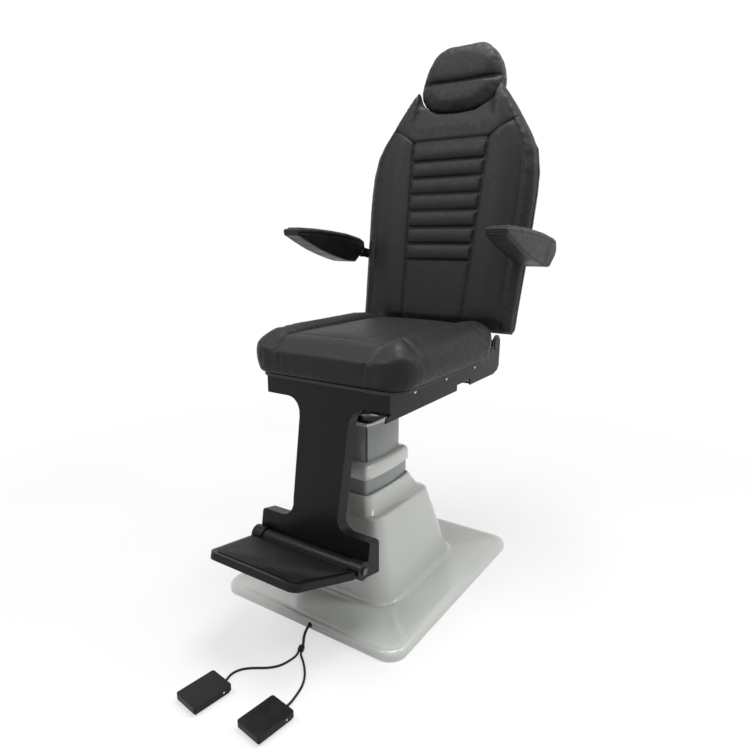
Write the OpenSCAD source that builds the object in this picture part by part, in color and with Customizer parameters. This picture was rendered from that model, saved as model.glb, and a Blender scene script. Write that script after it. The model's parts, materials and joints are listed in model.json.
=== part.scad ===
// Ophthalmic examination chair. Millimetres, +Z up, the sitter faces -Y.
// The origin is the centre of the base's underside, on the floor.

/* [Base] */
// Width of the moulded base
base_w = 570; // [480:5:640]
// Length of the base, front to back
base_l = 690; // [600:5:760]
// Height of the base's rim above the floor
base_h = 25; // [20:1:40]
// Corner radius of the base in plan
base_corner = 45; // [20:1:80]
// Rounding of the base's upper edge
base_edge = 12; // [4:1:15]
// Width of the raised rim
rim_w = 26; // [15:1:40]
// Thickness of the steel floor plate
floor_t = 10; // [6:1:12]

/* [Pedestal] */
// Width of the pedestal where it meets the base
foot_w = 330; // [280:5:380]
// Length of the pedestal where it meets the base
foot_l = 405; // [340:5:460]
// Width of the pedestal at its shoulder
shoulder_w = 236; // [210:2:260]
// Height of the shoulder above the floor
shoulder_z = 248; // [200:2:280]
// Height of the collar's top above the floor
collar_z = 305; // [270:1:320]
// Wall of the moulded covers
cover_wall = 4; // [3:0.5:6]

/* [Column] */
// Distance of the column's axis ahead of the base's centre
column_ahead = 53; // [30:1:80]
// Width of the middle section
mid_w = 162; // [150:2:170]
// Length of the middle section, front to back
mid_l = 208; // [190:2:220]
// Width of the inner section
inner_w = 140; // [120:2:146]
// Length of the inner section, front to back
inner_l = 164; // [140:2:170]
// Height of the inner section's cap at rest
cap_z = 497; // [470:1:510]
// Outer radius of the swivel bearing
swivel_r = 75; // [60:1:80]

/* [Seat] */
// Width of the seat cushion
seat_w = 490; // [430:5:540]
// Length of the seat cushion
seat_l = 557; // [450:1:580]
// Height of the cushion's edge above the floor
seat_z = 712; // [690:1:730]
// Crown of the cushion above its edge
seat_crown = 8; // [4:1:20]
// Underside of the cushion
cushion_z = 620; // [600:1:640]
// Outer distance between the side rails
frame_w = 380; // [340:2:420]
// Lower edge of the side rails
frame_z = 546; // [530:1:560]

/* [Leg rest] */
// Width of the leg plate at its flange
flange_w = 388; // [340:2:420]
// Width of the leg plate at its neck
neck_w = 158; // [120:2:200]
// Width of the leg plate's lower part
shin_w = 350; // [300:2:380]
// Slant of the leg plate from the vertical
leg_slant = 11.2; // [5:0.1:20]
// Length of the foot plate ahead of its hinge
foot_plate_l = 208; // [140:1:225]
// Thickness of the foot plate
foot_plate_t = 18; // [10:1:20]

/* [Back] */
// Recline of the back from the vertical at rest
recline = 10.8; // [5:0.1:20]
// Greatest width of the back
back_w = 590; // [520:5:640]
// Length of the back along its slope
back_l = 763; // [650:1:780]
// Thickness of the back, cushion and shell together
back_t = 115; // [100:1:130]
// Half width of the seams' panel at the yoke
panel_w = 258; // [220:2:280]
// Number of cross channels
channel_count = 7; // [3:1:9]
// Depth of the sewn channels
channel_d = 5; // [2:0.5:8]

/* [Headrest] */
// Width of the headrest
head_w = 278; // [220:1:284]
// Height of the headrest along its slope
head_l = 216; // [180:2:240]
// Thickness of the headrest's cushion
head_t = 40; // [30:1:50]

/* [Armrests] */
// Length of an armrest
arm_l = 347; // [300:1:380]
// Distance from the chair's middle to an armrest's inner face
arm_in = 297; // [290:1:310]
// Height of the armrest's top at its front
arm_z = 996; // [960:1:1010]
// Width of the armrest at its rear
arm_w = 75; // [60:1:80]

/* [Foot switches] */
// Width of a foot switch
switch_w = 70; // [50:1:80]
// Length of a foot switch
switch_l = 94; // [80:1:110]
// Height of a foot switch
switch_h = 20; // [16:1:26]
// Turn of both switches in plan
switch_turn = -7.5; // [-20:0.5:20]
// Diameter of the common cord
cord_d = 7; // [5:0.5:9]
// Diameter of each branch
branch_d = 5.5; // [4:0.5:7]

/* [Hidden] */
$fn = 48;
over = 1;
run_gap = 0.05;
slide_gap = 0.5;
soft_gap = 0.4;

// Closed solids from rings and from grids of points.

function rounded(hx, hy, r, n = 4) = [
    for (q = [0:3])
        for (i = [0:n])
            let (a = 90 * (q + i / n), sx = (q == 0 || q == 3) ? 1 : -1, sy = q < 2 ? 1 : -1)
                [sx * (hx - r) + r * cos(a), sy * (hy - r) + r * sin(a)]
];

function at_height(outline, z, cy = 0) = [for (p = outline) [p[0], p[1] + cy, z]];

module loft(rings) {
    m = len(rings);
    n = len(rings[0]);
    points = [for (r = rings) each r];
    sides = [
        for (i = [0:m - 2])
            for (j = [0:n - 1])
                let (a = i * n + j, b = i * n + (j + 1) % n)
                    each [[a, a + n, b + n], [a, b + n, b]]
    ];
    low = [for (j = [0:n - 1]) j];
    high = [for (j = [n - 1:-1:0]) (m - 1) * n + j];
    polyhedron(points, concat([low], [high], sides));
}

function rim_order(m, n) = concat(
    [for (j = [0:n - 1]) [0, j]],
    [for (i = [1:m - 1]) [i, n - 1]],
    [for (j = [n - 2:-1:0]) [m - 1, j]],
    [for (i = [m - 2:-1:1]) [i, 0]]
);

module pillow(front, back, rims) {
    m = len(front);
    n = len(front[0]);
    order = rim_order(m, n);
    c = len(order);
    points = concat([for (r = front) each r], [for (r = back) each r], [for (r = rims) each r]);
    first = [for (q = order) q[0] * n + q[1]];
    last = [for (q = order) m * n + q[0] * n + q[1]];
    middle = [for (k = [0:len(rims) - 1]) [for (j = [0:c - 1]) 2 * m * n + k * c + j]];
    loops = concat([first], middle, [last]);
    front_faces = [
        for (i = [0:m - 2])
            for (j = [0:n - 2])
                let (a = i * n + j)
                    each [[a, a + n, a + n + 1], [a, a + n + 1, a + 1]]
    ];
    back_faces = [
        for (i = [0:m - 2])
            for (j = [0:n - 2])
                let (a = m * n + i * n + j)
                    each [[a, a + 1, a + n + 1], [a, a + n + 1, a + n]]
    ];
    side_faces = [
        for (k = [0:len(loops) - 2])
            for (j = [0:c - 1])
                let (p = loops[k], q = loops[k + 1], t = (j + 1) % c)
                    each [[p[j], p[t], q[t]], [p[j], q[t], q[j]]]
    ];
    polyhedron(points, concat(front_faces, back_faces, side_faces));
}

module both_sides() {
    children();
    mirror([1, 0, 0]) children();
}

// A bar along X between two places.
module bar_x(x0, x1, r) {
    translate([x0, 0, 0]) rotate([0, 90, 0]) cylinder(r = r, h = x1 - x0);
}

// Base.

pad_h = 3;
pad_r = 20;
floor_inset = 24;
cover_z = 1;
rim_drop = 1.5;
deck_z = base_h - rim_drop;
foot_y = -3.5;
foot_r = 70;
opening_inset = 26;
column_y = -column_ahead;

function base_ring(inset, z) = at_height(
    rounded(base_w / 2 - inset, base_l / 2 - inset, base_corner - inset / 2, 8), z);

// Upright sides, a rolled edge and a step down inside the rim.
module base_body() {
    edge = [
        for (a = [0:22.5:90])
            base_ring(base_edge * (1 - cos(a)), base_h + base_edge * (sin(a) - 1))
    ];
    loft(concat([base_ring(0, cover_z)], edge,
        [base_ring(rim_w - 2 * rim_drop, base_h), base_ring(rim_w, deck_z)]));
}

module base_hole() {
    linear_extrude(base_h)
        translate([0, foot_y])
            polygon(rounded(foot_w / 2 - opening_inset, foot_l / 2 - opening_inset, foot_r / 2));
}

module base_cover() {
    difference() {
        base_body();
        translate([0, 0, cover_z - over])
            linear_extrude(deck_z - cover_wall - cover_z + over)
                polygon(rounded(base_w / 2 - base_edge, base_l / 2 - base_edge, base_corner - base_edge));
        base_hole();
        translate([gland_x, over - base_l / 2 + base_edge, gland_z])
            rotate([90, 0, 0]) cylinder(r = gland_r, h = base_edge + 2 * over);
    }
}

module floor_plate() {
    translate([0, 0, pad_h])
        linear_extrude(floor_t)
            polygon(rounded(base_w / 2 - floor_inset, base_l / 2 - floor_inset, base_corner - floor_inset / 2));
}

module base_feet() {
    for (sx = [-1, 1]) {
        for (sy = [-1, 1]) {
            translate([sx * (base_w / 2 - 3 * pad_r), sy * (base_l / 2 - 3 * pad_r), 0])
                cylinder(r = pad_r, h = pad_h);
        }
    }
    cylinder(r = pad_r, h = pad_h);
}

// Pedestal: a fillet at the foot, straight slopes, a rounded shoulder and the collar.

foot_fillet = 14;
shoulder_r = 8;
shoulder_l = 288;
shoulder_y = -24;
collar_run = 50;
collar_edge = 5;
tube_wall = 3;
tube_hx = mid_w / 2 + slide_gap + tube_wall;
tube_hy = mid_l / 2 + slide_gap + tube_wall;
collar_hx = tube_hx + slide_gap + cover_wall;
collar_hy = tube_hy + slide_gap + cover_wall;

function slope_ring(t, inset, z) = let (
    hx = foot_w / 2 + t * (shoulder_w - foot_w) / 2 - inset,
    hy = foot_l / 2 + t * (shoulder_l - foot_l) / 2 - inset,
    r = foot_r + t * (foot_r / 2 - foot_r)
) at_height(rounded(hx, hy, r, 6), z, foot_y + t * (shoulder_y - foot_y));

function collar_ring(run, inset, z) = let (
    hy = collar_hy + run / 2 - inset
) at_height(rounded(collar_hx - inset, hy, foot_r / 3, 6), z, column_y + run / 2);

module pedestal_body() {
    fillet = [
        for (a = [0:30:90])
            slope_ring(0, foot_fillet * (sin(a) - 1), deck_z + foot_fillet * (1 - cos(a)))
    ];
    slopes = [for (t = [0.35, 0.7]) slope_ring(t, 0, deck_z + t * (shoulder_z - deck_z))];
    shoulder = [
        for (a = [0:30:90])
            slope_ring(1, shoulder_r * (1 - cos(a)), shoulder_z + shoulder_r * (sin(a) - 1))
    ];
    loft(concat(fillet, slopes, shoulder));
    collar = [
        for (a = [0:30:90])
            collar_ring(0, collar_edge * (1 - cos(a)), collar_z + collar_edge * (sin(a) - 1))
    ];
    loft(concat([collar_ring(collar_run, 0, shoulder_z - 2 * shoulder_r)],
        [collar_ring(collar_run, 0, shoulder_z)], collar));
}

module pedestal_cover() {
    difference() {
        pedestal_body();
        loft([slope_ring(0, cover_wall, deck_z - over),
            slope_ring(0, cover_wall, deck_z + foot_fillet),
            slope_ring(1, cover_wall, shoulder_z - 2 * cover_wall)]);
        translate([0, 0, deck_z])
            linear_extrude(collar_z)
                translate([0, column_y])
                    polygon(section(tube_hx + slide_gap, tube_hy + slide_gap, mid_bulge, mid_corner));
        translate([0, inlet_y, inlet_z])
            cube([inlet_w + slide_gap, inlet_t, inlet_h + slide_gap], center = true);
    }
}

// Telescopic column. Its side faces bow outwards.

mid_bulge = 7;
mid_corner = 9;
mid_wall = 5;
inner_bulge = 8;
inner_corner = 7;
inner_wall = 8;
groove_r = 4;
mid_z = 90;
mid_top = 350;
ring_z = 347;
ring_top = 387;
ring_lip = 4.5;
inner_z = 180;
cap_t = 11;
tube_top = collar_z - 2 * collar_edge;

function section(hx, hy, bulge, r) = let (
    side = [for (i = [-4:4]) [hx - bulge * pow(i / 4, 2), (hy - r) * i / 4]],
    corner = [for (a = [30:30:90]) [hx - bulge - r + r * cos(a), hy - r + r * sin(a)]],
    up = concat(side, corner)
) concat(
    up,
    [for (i = [len(up) - 1:-1:0]) [-up[i][0], up[i][1]]],
    [for (q = corner) -q],
    [for (i = [len(corner) - 1:-1:0]) [corner[i][0], -corner[i][1]]]
);

module column_tube(hx, hy, bulge, r, wall, z0, z1) {
    translate([0, column_y, z0])
        linear_extrude(z1 - z0)
            difference() {
                polygon(section(hx, hy, bulge, r));
                polygon(section(hx - wall, hy - wall, bulge, r / 2));
            }
}

module column_outer() {
    column_tube(tube_hx, tube_hy, mid_bulge, mid_corner + tube_wall, tube_wall, floor_top, tube_top);
}

module column_mid() {
    column_tube(mid_w / 2, mid_l / 2, mid_bulge, mid_corner, mid_wall, mid_z, mid_top - pad_h);
}

module wiper_ring() {
    difference() {
        loft([
            for (q = [[0, 0], [0.7, 0], [0.9, 0.35], [1, 1]])
                let (inset = q[1] * (ring_lip + mid_wall) - ring_lip)
                    at_height(section(mid_w / 2 - inset, mid_l / 2 - inset, mid_bulge, mid_corner),
                        ring_z + q[0] * (ring_top - ring_z), column_y)
        ]);
        translate([0, column_y, ring_z - over])
            linear_extrude(ring_top - ring_z + 2 * over)
                polygon(section(inner_w / 2 + slide_gap, inner_l / 2 + slide_gap, inner_bulge, inner_corner));
    }
}

module column_inner() {
    difference() {
        column_tube(inner_w / 2, inner_l / 2, inner_bulge, inner_corner, inner_wall, inner_z, cap_z - cap_t);
        for (sx = [-1, 1]) {
            for (sy = [-1, 1]) {
                translate([sx * (inner_w / 2 - inner_bulge - groove_r), column_y + sy * inner_l / 2,
                    inner_z + guide_h + over])
                    cylinder(r = groove_r, h = cap_z);
            }
        }
    }
}

guide_h = 40;

// The guide is a plastic shoe round the inner tube's foot, inside the middle tube.
module inner_guide() {
    translate([0, column_y, inner_z])
        linear_extrude(guide_h)
            difference() {
                polygon(section(mid_w / 2 - mid_wall - slide_gap, mid_l / 2 - mid_wall - slide_gap,
                    mid_bulge, mid_corner / 2));
                polygon(section(inner_w / 2, inner_l / 2, inner_bulge, inner_corner));
            }
}

module column_cap() {
    translate([0, column_y, cap_z - cap_t])
        linear_extrude(cap_t)
            polygon(section(inner_w / 2 + groove_r / 2, inner_l / 2 + groove_r / 2, inner_bulge, inner_corner));
}

// Lift: a motor on the floor plate turns the screw, and the nut carries the inner tube.

floor_top = pad_h + floor_t;
motor_r = 42;
motor_h = 137;
screw_r = 10;
screw_top = 362;
nut_z = 272;
nut_t = 20;

module lift_motor() {
    translate([0, column_y, floor_top]) {
        cylinder(r = motor_r, h = motor_h - screw_r);
        cylinder(r = motor_r / 2, h = motor_h);
    }
}

module lift_screw() {
    translate([0, column_y, floor_top + motor_h])
        cylinder(r = screw_r, h = screw_top - floor_top - motor_h);
}

module lift_nut() {
    translate([0, column_y, nut_z])
        linear_extrude(nut_t)
            difference() {
                polygon(section(inner_w / 2 - inner_wall, inner_l / 2 - inner_wall, inner_bulge, inner_corner / 2));
                circle(r = screw_r + run_gap);
            }
}

box_w = 140;
box_l = 75;
box_h = 70;
box_y = 68;

module control_box() {
    translate([-box_w / 2, box_y, floor_top]) cube([box_w, box_l, box_h]);
}

inlet_w = 48;
inlet_h = 28;
inlet_t = 46;
inlet_y = 172;
inlet_z = 62;
inlet_rim = 6;
pin_r = 2;

module mains_inlet() {
    translate([0, inlet_y, inlet_z]) {
        difference() {
            cube([inlet_w, inlet_t, inlet_h], center = true);
            translate([0, inlet_t / 2, 0])
                cube([inlet_w - 2 * inlet_rim, inlet_t, inlet_h - 2 * inlet_rim], center = true);
        }
        for (i = [-1:1]) {
            translate([i * inlet_rim, 0, 0]) rotate([-90, 0, 0]) cylinder(r = pin_r, h = inlet_t / 3);
        }
    }
}

// Swivel.

head_plate_t = 7;
swivel_t = 14;
spigot_r = 30;
swivel_gap = 0.3;
swivel_z = cap_z + head_plate_t;
table_z = swivel_z + swivel_t + swivel_gap;
table_r = 95;
floor_pan_z = frame_z + 3;

module head_plate() {
    translate([0, column_y, cap_z])
        linear_extrude(head_plate_t) polygon(rounded(inner_w / 2 + cap_t / 2, inner_l / 2 + cap_t / 2, cap_t));
}

module swivel_ring() {
    translate([0, column_y, swivel_z])
        difference() {
            cylinder(r = swivel_r, h = swivel_t);
            translate([0, 0, -over]) cylinder(r = spigot_r + run_gap, h = swivel_t + 2 * over);
        }
}

module turntable() {
    translate([0, column_y, table_z]) cylinder(r = table_r, h = floor_pan_z - table_z);
    translate([0, column_y, swivel_z + swivel_gap])
        cylinder(r = spigot_r, h = table_z - swivel_z);
}

// Seat frame: a folded pan with side rails, a front wall with arches and two ears.

sheet = 4;
board_t = 8;
rail_top = cushion_z - board_t;
flange_t = 27;
flange_y = -231;
flange_z0 = 566;
flange_z1 = rail_top;
wall_y = flange_y + flange_t;
toe_y = -244;
notch_y0 = 129;
notch_y1 = 215;
notch_h = 20;
seat_front = -261;
seat_rear = seat_front + seat_l;
pivot_back = 108;
pivot_y = seat_rear + pivot_back;
rail_past = 13;
rail_rear = pivot_y + rail_past;
ear_r = 29;
shaft_r = 12;
bush_r = 18;
pivot_z = 640;
screw_places = [-114, 55, 235];
rail_screw_z = 598;
rail_screw_r = 3;
screw_head_r = 6;
arch_x = 152;
arch_w = 60;
arch_h = 40;
lip_w = 30;

module rail_profile(toe) {
    difference() {
        union() {
            polygon(concat([[wall_y, rail_top], [wall_y, flange_z0 - over]], toe,
                [[notch_y0, frame_z], [notch_y0, frame_z + notch_h],
                [notch_y1, frame_z + notch_h], [notch_y1, frame_z], [rail_rear - lip_w, frame_z],
                [rail_rear, frame_z + 2 * sheet], [pivot_y + ear_r - sheet, frame_z + notch_h],
                [pivot_y + ear_r, pivot_z], [pivot_y - ear_r, pivot_z],
                [pivot_y - 2 * ear_r, rail_top]]));
            translate([pivot_y, pivot_z]) circle(r = ear_r);
        }
        translate([pivot_y, pivot_z]) circle(r = bush_r);
        for (y = screw_places) {
            translate([y, rail_screw_z]) circle(r = rail_screw_r);
        }
    }
}

right_toe = [[toe_y + sheet, flange_z0 - 2 * sheet], [toe_y, frame_z]];
left_toe = [[wall_y + 2 * lip_w, frame_z]];

module rail(toe) {
    translate([frame_w / 2 - sheet, 0, 0])
        rotate([90, 0, 90]) linear_extrude(sheet) rail_profile(toe);
}

module front_wall() {
    difference() {
        translate([sheet - frame_w / 2, wall_y, floor_pan_z])
            cube([frame_w - 2 * sheet, sheet, rail_top - floor_pan_z]);
        both_sides()
            translate([arch_x, wall_y - over, 0])
                rotate([-90, 0, 0]) {
                    translate([-arch_w / 2, arch_w / 2 - floor_pan_z - arch_h, 0])
                        cube([arch_w, arch_h, sheet + 2 * over]);
                    translate([0, arch_w / 2 - floor_pan_z - arch_h, 0])
                        cylinder(r = arch_w / 2, h = sheet + 2 * over);
                }
        for (x = bolt_places) {
            translate([x, wall_y - over, bolt_z]) rotate([-90, 0, 0]) cylinder(r = bolt_r, h = sheet + 2 * over);
        }
    }
}

module seat_frame() {
    rail(right_toe);
    mirror([1, 0, 0]) rail(left_toe);
    both_sides()
        translate([frame_w / 2 - lip_w, wall_y, rail_top - sheet])
            cube([lip_w - sheet, notch_y1 + notch_h - wall_y, sheet]);
    difference() {
        front_wall();
        translate([-frame_w, wall_y - over, frame_z])
            cube([frame_w - neck_w / 2, sheet + 2 * over, flange_z0 - frame_z - over]);
    }
    difference() {
        translate([sheet - frame_w / 2, wall_y, floor_pan_z])
            cube([frame_w - 2 * sheet, rail_rear - lip_w - wall_y, sheet]);
        both_sides()
            translate([frame_w / 2 - sheet - notch_h, notch_y0, frame_z])
                cube([frame_w, notch_y1 - notch_y0, notch_h]);
        translate([-frame_w, wall_y - over, frame_z])
            cube([frame_w - neck_w / 2, 2 * lip_w, lip_w]);
    }
    translate([sheet - frame_w / 2, rail_rear - lip_w - sheet, floor_pan_z])
        cube([frame_w - 2 * sheet, sheet, notch_h]);
}

module rail_screws() {
    both_sides()
        for (y = screw_places) {
            translate([0, y, rail_screw_z]) {
                bar_x(frame_w / 2 - 4 * sheet, frame_w / 2, rail_screw_r);
                bar_x(frame_w / 2, frame_w / 2 + sheet, screw_head_r);
            }
        }
}

bolt_places = [-110, -50, 50, 110];
bolt_z = 594;
bolt_r = 4;

module flange_bolts() {
    for (x = bolt_places) {
        translate([x, wall_y + sheet, bolt_z]) {
            rotate([90, 0, 0]) cylinder(r = bolt_r, h = flange_t * 0.7);
            rotate([-90, 0, 0]) cylinder(r = 2 * bolt_r, h = bolt_r, $fn = 6);
        }
    }
}

module recline_bushes() {
    both_sides()
        translate([0, pivot_y, pivot_z])
            difference() {
                bar_x(frame_w / 2 - 2 * sheet, frame_w / 2 + sheet / 2, bush_r);
                bar_x(frame_w / 2 - 3 * sheet, frame_w / 2 + sheet, shaft_r + run_gap);
            }
}

gear_r = 29;
gear_l = 120;
gear_foot = 80;

module recline_motor() {
    difference() {
        union() {
            translate([0, pivot_y, pivot_z]) bar_x(-gear_l / 2, gear_l / 2, gear_r);
            translate([-gear_foot / 2, pivot_y - 2 * gear_r, floor_pan_z + sheet])
                cube([gear_foot, 2 * gear_r - lip_w + sheet, pivot_z - floor_pan_z - sheet]);
        }
        translate([0, pivot_y, pivot_z]) bar_x(-gear_l, gear_l, shaft_r + run_gap);
    }
}

// Seat.

board_inset = 22;
seat_mid = (seat_front + seat_rear) / 2;
seat_r = 60;
seat_seam = 150;
seam_w = 7;
roll_l = 90;
crease_y = seat_front + roll_l;
seat_drop = 11;
seat_bolster = 18;

module seat_board() {
    translate([0, seat_mid, rail_top])
        linear_extrude(board_t)
            polygon(rounded(seat_w / 2 - board_inset, seat_l / 2 - board_inset, seat_r - board_inset / 2));
}

seat_rows = concat(
    [for (a = [0:22.5:90]) seat_front + seat_r * (1 - cos(a))],
    [crease_y - seam_w, crease_y, crease_y + seam_w],
    [for (k = [1:6]) crease_y + seam_w + k * (seat_rear - seat_r - crease_y - seam_w) / 6],
    [for (a = [22.5:22.5:90]) seat_rear - seat_r * (1 - sin(a))]
);
seat_side_shares = [0.25, 0.5, 0.75, 0.92, 1];

function seat_reach(y) = let (
    d = max(0, seat_r - min(y - seat_front, seat_rear - y))
) seat_w / 2 - seat_r + sqrt(max(0, seat_r * seat_r - d * d));

function seat_column_list(y) = let (
    reach = seat_reach(y),
    half = concat([0, seat_seam / 2, seat_seam - seam_w, seat_seam, seat_seam + seam_w],
        [for (f = seat_side_shares) seat_seam + seam_w + f * (reach - seat_seam - seam_w)])
) concat([for (i = [len(half) - 1:-1:1]) -half[i]], half);

function seat_top(x, y) = let (
    u = abs(x) / (seat_w / 2),
    v = abs(y - seat_mid) / (seat_l / 2),
    w = max(0, abs(x) - seat_seam) / (seat_w / 2 - seat_seam),
    ridge = (seat_crown * (1 - pow(u, 4)) + seat_bolster * 4 * w * (1 - w)) * (1 - pow(v, 6)),
    roll = seat_drop * (pow(u, 14) + pow(v, 14)),
    seam = (abs(abs(x) - seat_seam) < over ? channel_d : 0) + (abs(y - crease_y) < over ? channel_d : 0),
    droop = seat_drop * pow(max(0, (crease_y - y) / (crease_y - seat_front)), 2)
) seat_z + ridge - roll - seam - droop;

function seat_point(x, y, inset, z) = [
    x * (1 - inset / (seat_w / 2)),
    seat_mid + (y - seat_mid) * (1 - inset / (seat_l / 2)),
    z
];

// Each level of the side is an inset and a share of the cushion's height.
seat_side_levels = [[0, 0.78], [0, 0.55], [2, 0.3], [7, 0.08]];
seat_top_inset = 4;
seat_foot_inset = 12;

module seat_cushion() {
    m = len(seat_rows);
    grid = [for (y = seat_rows) [for (x = seat_column_list(y)) [x, y]]];
    n = len(grid[0]);
    top = [for (r = grid) [for (p = r) seat_point(p[0], p[1], seat_top_inset, seat_top(p[0], p[1]))]];
    foot = [for (r = grid) [for (p = r) seat_point(p[0], p[1], seat_foot_inset, cushion_z)]];
    rims = [
        for (l = seat_side_levels)
            [
                for (q = rim_order(m, n))
                    let (p = grid[q[0]][q[1]])
                        seat_point(p[0], p[1], l[0], cushion_z + l[1] * (seat_z - cushion_z))
            ]
    ];
    pillow(top, foot, rims);
}

// Leg plate: one slab, cut to its outline and bent below the flange.

slab_t = 38;
shin_top = 258;
shin_corner = 8;
heel_back = 17;
heel_y = flange_y - heel_back;
neck_low = 330;
neck_low_w = 144;
fillet_top = 45;
fillet_low = 36;
shin_z = 170;
hinge_y = -313;
hinge_z = 195;
barrel_r = 19;
barrel_w = 280;
pin_foot_r = 6;
hinge_gap = 1;
cheek_r = 23;

module plate_box(w, z0, z1) {
    translate([-w / 2, z0]) square([w, z1 - z0]);
}

// A height as a distance down the slab from its bend.
function along(z) = (z - flange_z0) / cos(leg_slant);

module leg_outline() {
    top = along(shin_top);
    low = along(shin_z);
    difference() {
        union() {
            translate([0, (top + low) / 2]) polygon(rounded(shin_w / 2, (top - low) / 2, shin_corner));
            polygon([[-neck_w / 2, 0], [neck_w / 2, 0], [neck_low_w / 2, top - over], [-neck_low_w / 2, top - over]]);
            plate_box(neck_w + 2 * fillet_top, -fillet_top, sheet);
            plate_box(neck_low_w + 2 * fillet_low, top - over, top + fillet_low);
        }
        for (sx = [-1, 1]) {
            translate([sx * (neck_w / 2 + fillet_top), -fillet_top]) circle(r = fillet_top);
            translate([sx * (neck_low_w / 2 + fillet_low), top + fillet_low]) circle(r = fillet_low);
        }
    }
}

module leg_side() {
    out = (flange_z0 - shin_z) * tan(leg_slant);
    polygon([[flange_y, flange_z0 + sheet], [flange_y, flange_z0], [flange_y - out, shin_z - slab_t],
        [heel_y, shin_z - slab_t], [heel_y, shin_top],
        [wall_y - over, flange_z0 - slab_t], [wall_y, flange_z0], [wall_y, flange_z0 + sheet]]);
}

module leg_slab() {
    intersection() {
        translate([0, flange_y, flange_z0])
            rotate([90 - leg_slant, 0, 0])
                linear_extrude(4 * slab_t, center = true) leg_outline();
        translate([-flange_w / 2, 0, 0]) rotate([90, 0, 90]) linear_extrude(flange_w) leg_side();
    }
    translate([-flange_w / 2, flange_y, flange_z0]) cube([flange_w, flange_t, flange_z1 - flange_z0]);
}

module leg_plate() {
    difference() {
        leg_slab();
        translate([0, hinge_y, hinge_z]) {
            bar_x(-flange_w / 2, flange_w / 2, pin_foot_r + run_gap);
            bar_x(-barrel_w / 2 - hinge_gap, barrel_w / 2 + hinge_gap, barrel_r + hinge_gap);
        }
        for (x = bolt_places) {
            translate([x, wall_y + over, bolt_z])
                rotate([90, 0, 0]) cylinder(r = bolt_r, h = flange_t * 0.8);
        }
    }
    both_sides()
        translate([0, hinge_y, hinge_z])
            difference() {
                bar_x(barrel_w / 2 + hinge_gap, shin_w / 2, cheek_r);
                bar_x(0, shin_w, pin_foot_r + run_gap);
            }
}

// Foot plate, raised a little towards its front edge.

foot_raise = 14.5;
foot_front_w = 278;
foot_rear_w = 336;
foot_corner = 25;
lug_gap = cheek_r + 2 * hinge_gap;
mat_t = 2;
mat_inset = 12;

module foot_space() {
    translate([0, hinge_y, hinge_z]) rotate([-foot_raise, 0, 0]) children();
}

module foot_outline(inset) {
    r = foot_corner - inset / 2;
    hw = foot_front_w / 2 - inset;
    y1 = inset - foot_plate_l;
    polygon([[-foot_rear_w / 2 + inset, -lug_gap - inset], [foot_rear_w / 2 - inset, -lug_gap - inset],
        [hw, y1 + r], [hw - r, y1], [r - hw, y1], [-hw, y1 + r]]);
    for (sx = [-1, 1]) {
        translate([sx * (hw - r), y1 + r]) circle(r = r);
    }
}

module foot_plate() {
    difference() {
        foot_space() {
            translate([0, 0, -foot_plate_t]) linear_extrude(foot_plate_t) foot_outline(0);
            translate([-barrel_w / 2, -lug_gap - over, -foot_plate_t]) cube([barrel_w, lug_gap + over, foot_plate_t]);
            bar_x(-barrel_w / 2, barrel_w / 2, barrel_r);
        }
        foot_space() bar_x(-barrel_w, barrel_w, pin_foot_r);
    }
}

module foot_mat() {
    foot_space() linear_extrude(mat_t) foot_outline(mat_inset);
}

pin_head_r = 9;
pin_l = 60;

module foot_pins() {
    both_sides()
        foot_space() {
            bar_x(shin_w / 2 - pin_l, shin_w / 2 + swivel_gap, pin_foot_r);
            bar_x(shin_w / 2 + swivel_gap, shin_w / 2 + sheet, pin_head_r);
        }
}

// Back: X across, Y into the back, Z up its slope, from a point on its front at the seat's height.

back_gap = 14;
back_y = seat_rear + back_gap;
back_z = 713;
back_foot = -27;
back_top = back_foot + back_l;
cushion_t = 45;
head_sink = 81;
head_foot = back_top - head_sink;
notch_drop = 6;
notch_z = head_foot - notch_drop;
yoke_drop = 173;
yoke_z = back_top - yoke_drop;
yoke_rise = 62;
seam_low_w = 210;

module back_space() {
    translate([0, back_y, back_z]) rotate([-recline, 0, 0]) children();
}

// Half widths up the back's edge, as shares of its length and half width.
shell_shares = [[0, 0.905], [0.008, 0.925], [0.03, 0.934], [0.08, 0.938], [0.154, 0.948], [0.282, 0.968],
    [0.405, 0.984], [0.512, 1], [0.617, 1], [0.68, 0.986], [0.731, 0.954], [0.79, 0.882],
    [0.847, 0.785], [0.902, 0.695], [0.945, 0.61], [0.978, 0.545], [1, 0.50]];

// The notch follows the headrest's lower outline: share of its half width, share of its height.
notch_gap = 2;
notch_shares = [[0, 0], [0.36, 0], [0.55, 0.03], [0.73, 0.08], [0.865, 0.15], [0.96, 0.24], [1, 0.33]];

// The height at which a row meets the back's edge, for a row's share of the length.
function edge_height(t) = let (
    k = (t - yoke_share) / (1 - yoke_share)
) t <= yoke_share
    ? back_foot + t * back_l + yoke_rise * pow(t / yoke_share, 6)
    : (1 - k) * (yoke_z + yoke_rise) + k * back_top;

function shell_reach(t) = back_w / 2 * lookup((edge_height(t) - back_foot) / back_l, shell_shares);
function cushion_reach(t) = shell_reach(t) - over;
function seam_reach(t) = seam_low_w / 2 + (panel_w - seam_low_w) / 2 * min(1, t / yoke_share);

// The upper edge dips round the headrest.
function top_edge(x, drop) = let (
    u = abs(x) / (head_w / 2 + notch_gap),
    low = head_foot - notch_gap + lookup(u, notch_shares) * head_l
) (u >= 1 ? back_top : min(back_top, low)) - drop;

yoke_share = (yoke_z - back_foot) / back_l;

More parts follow.
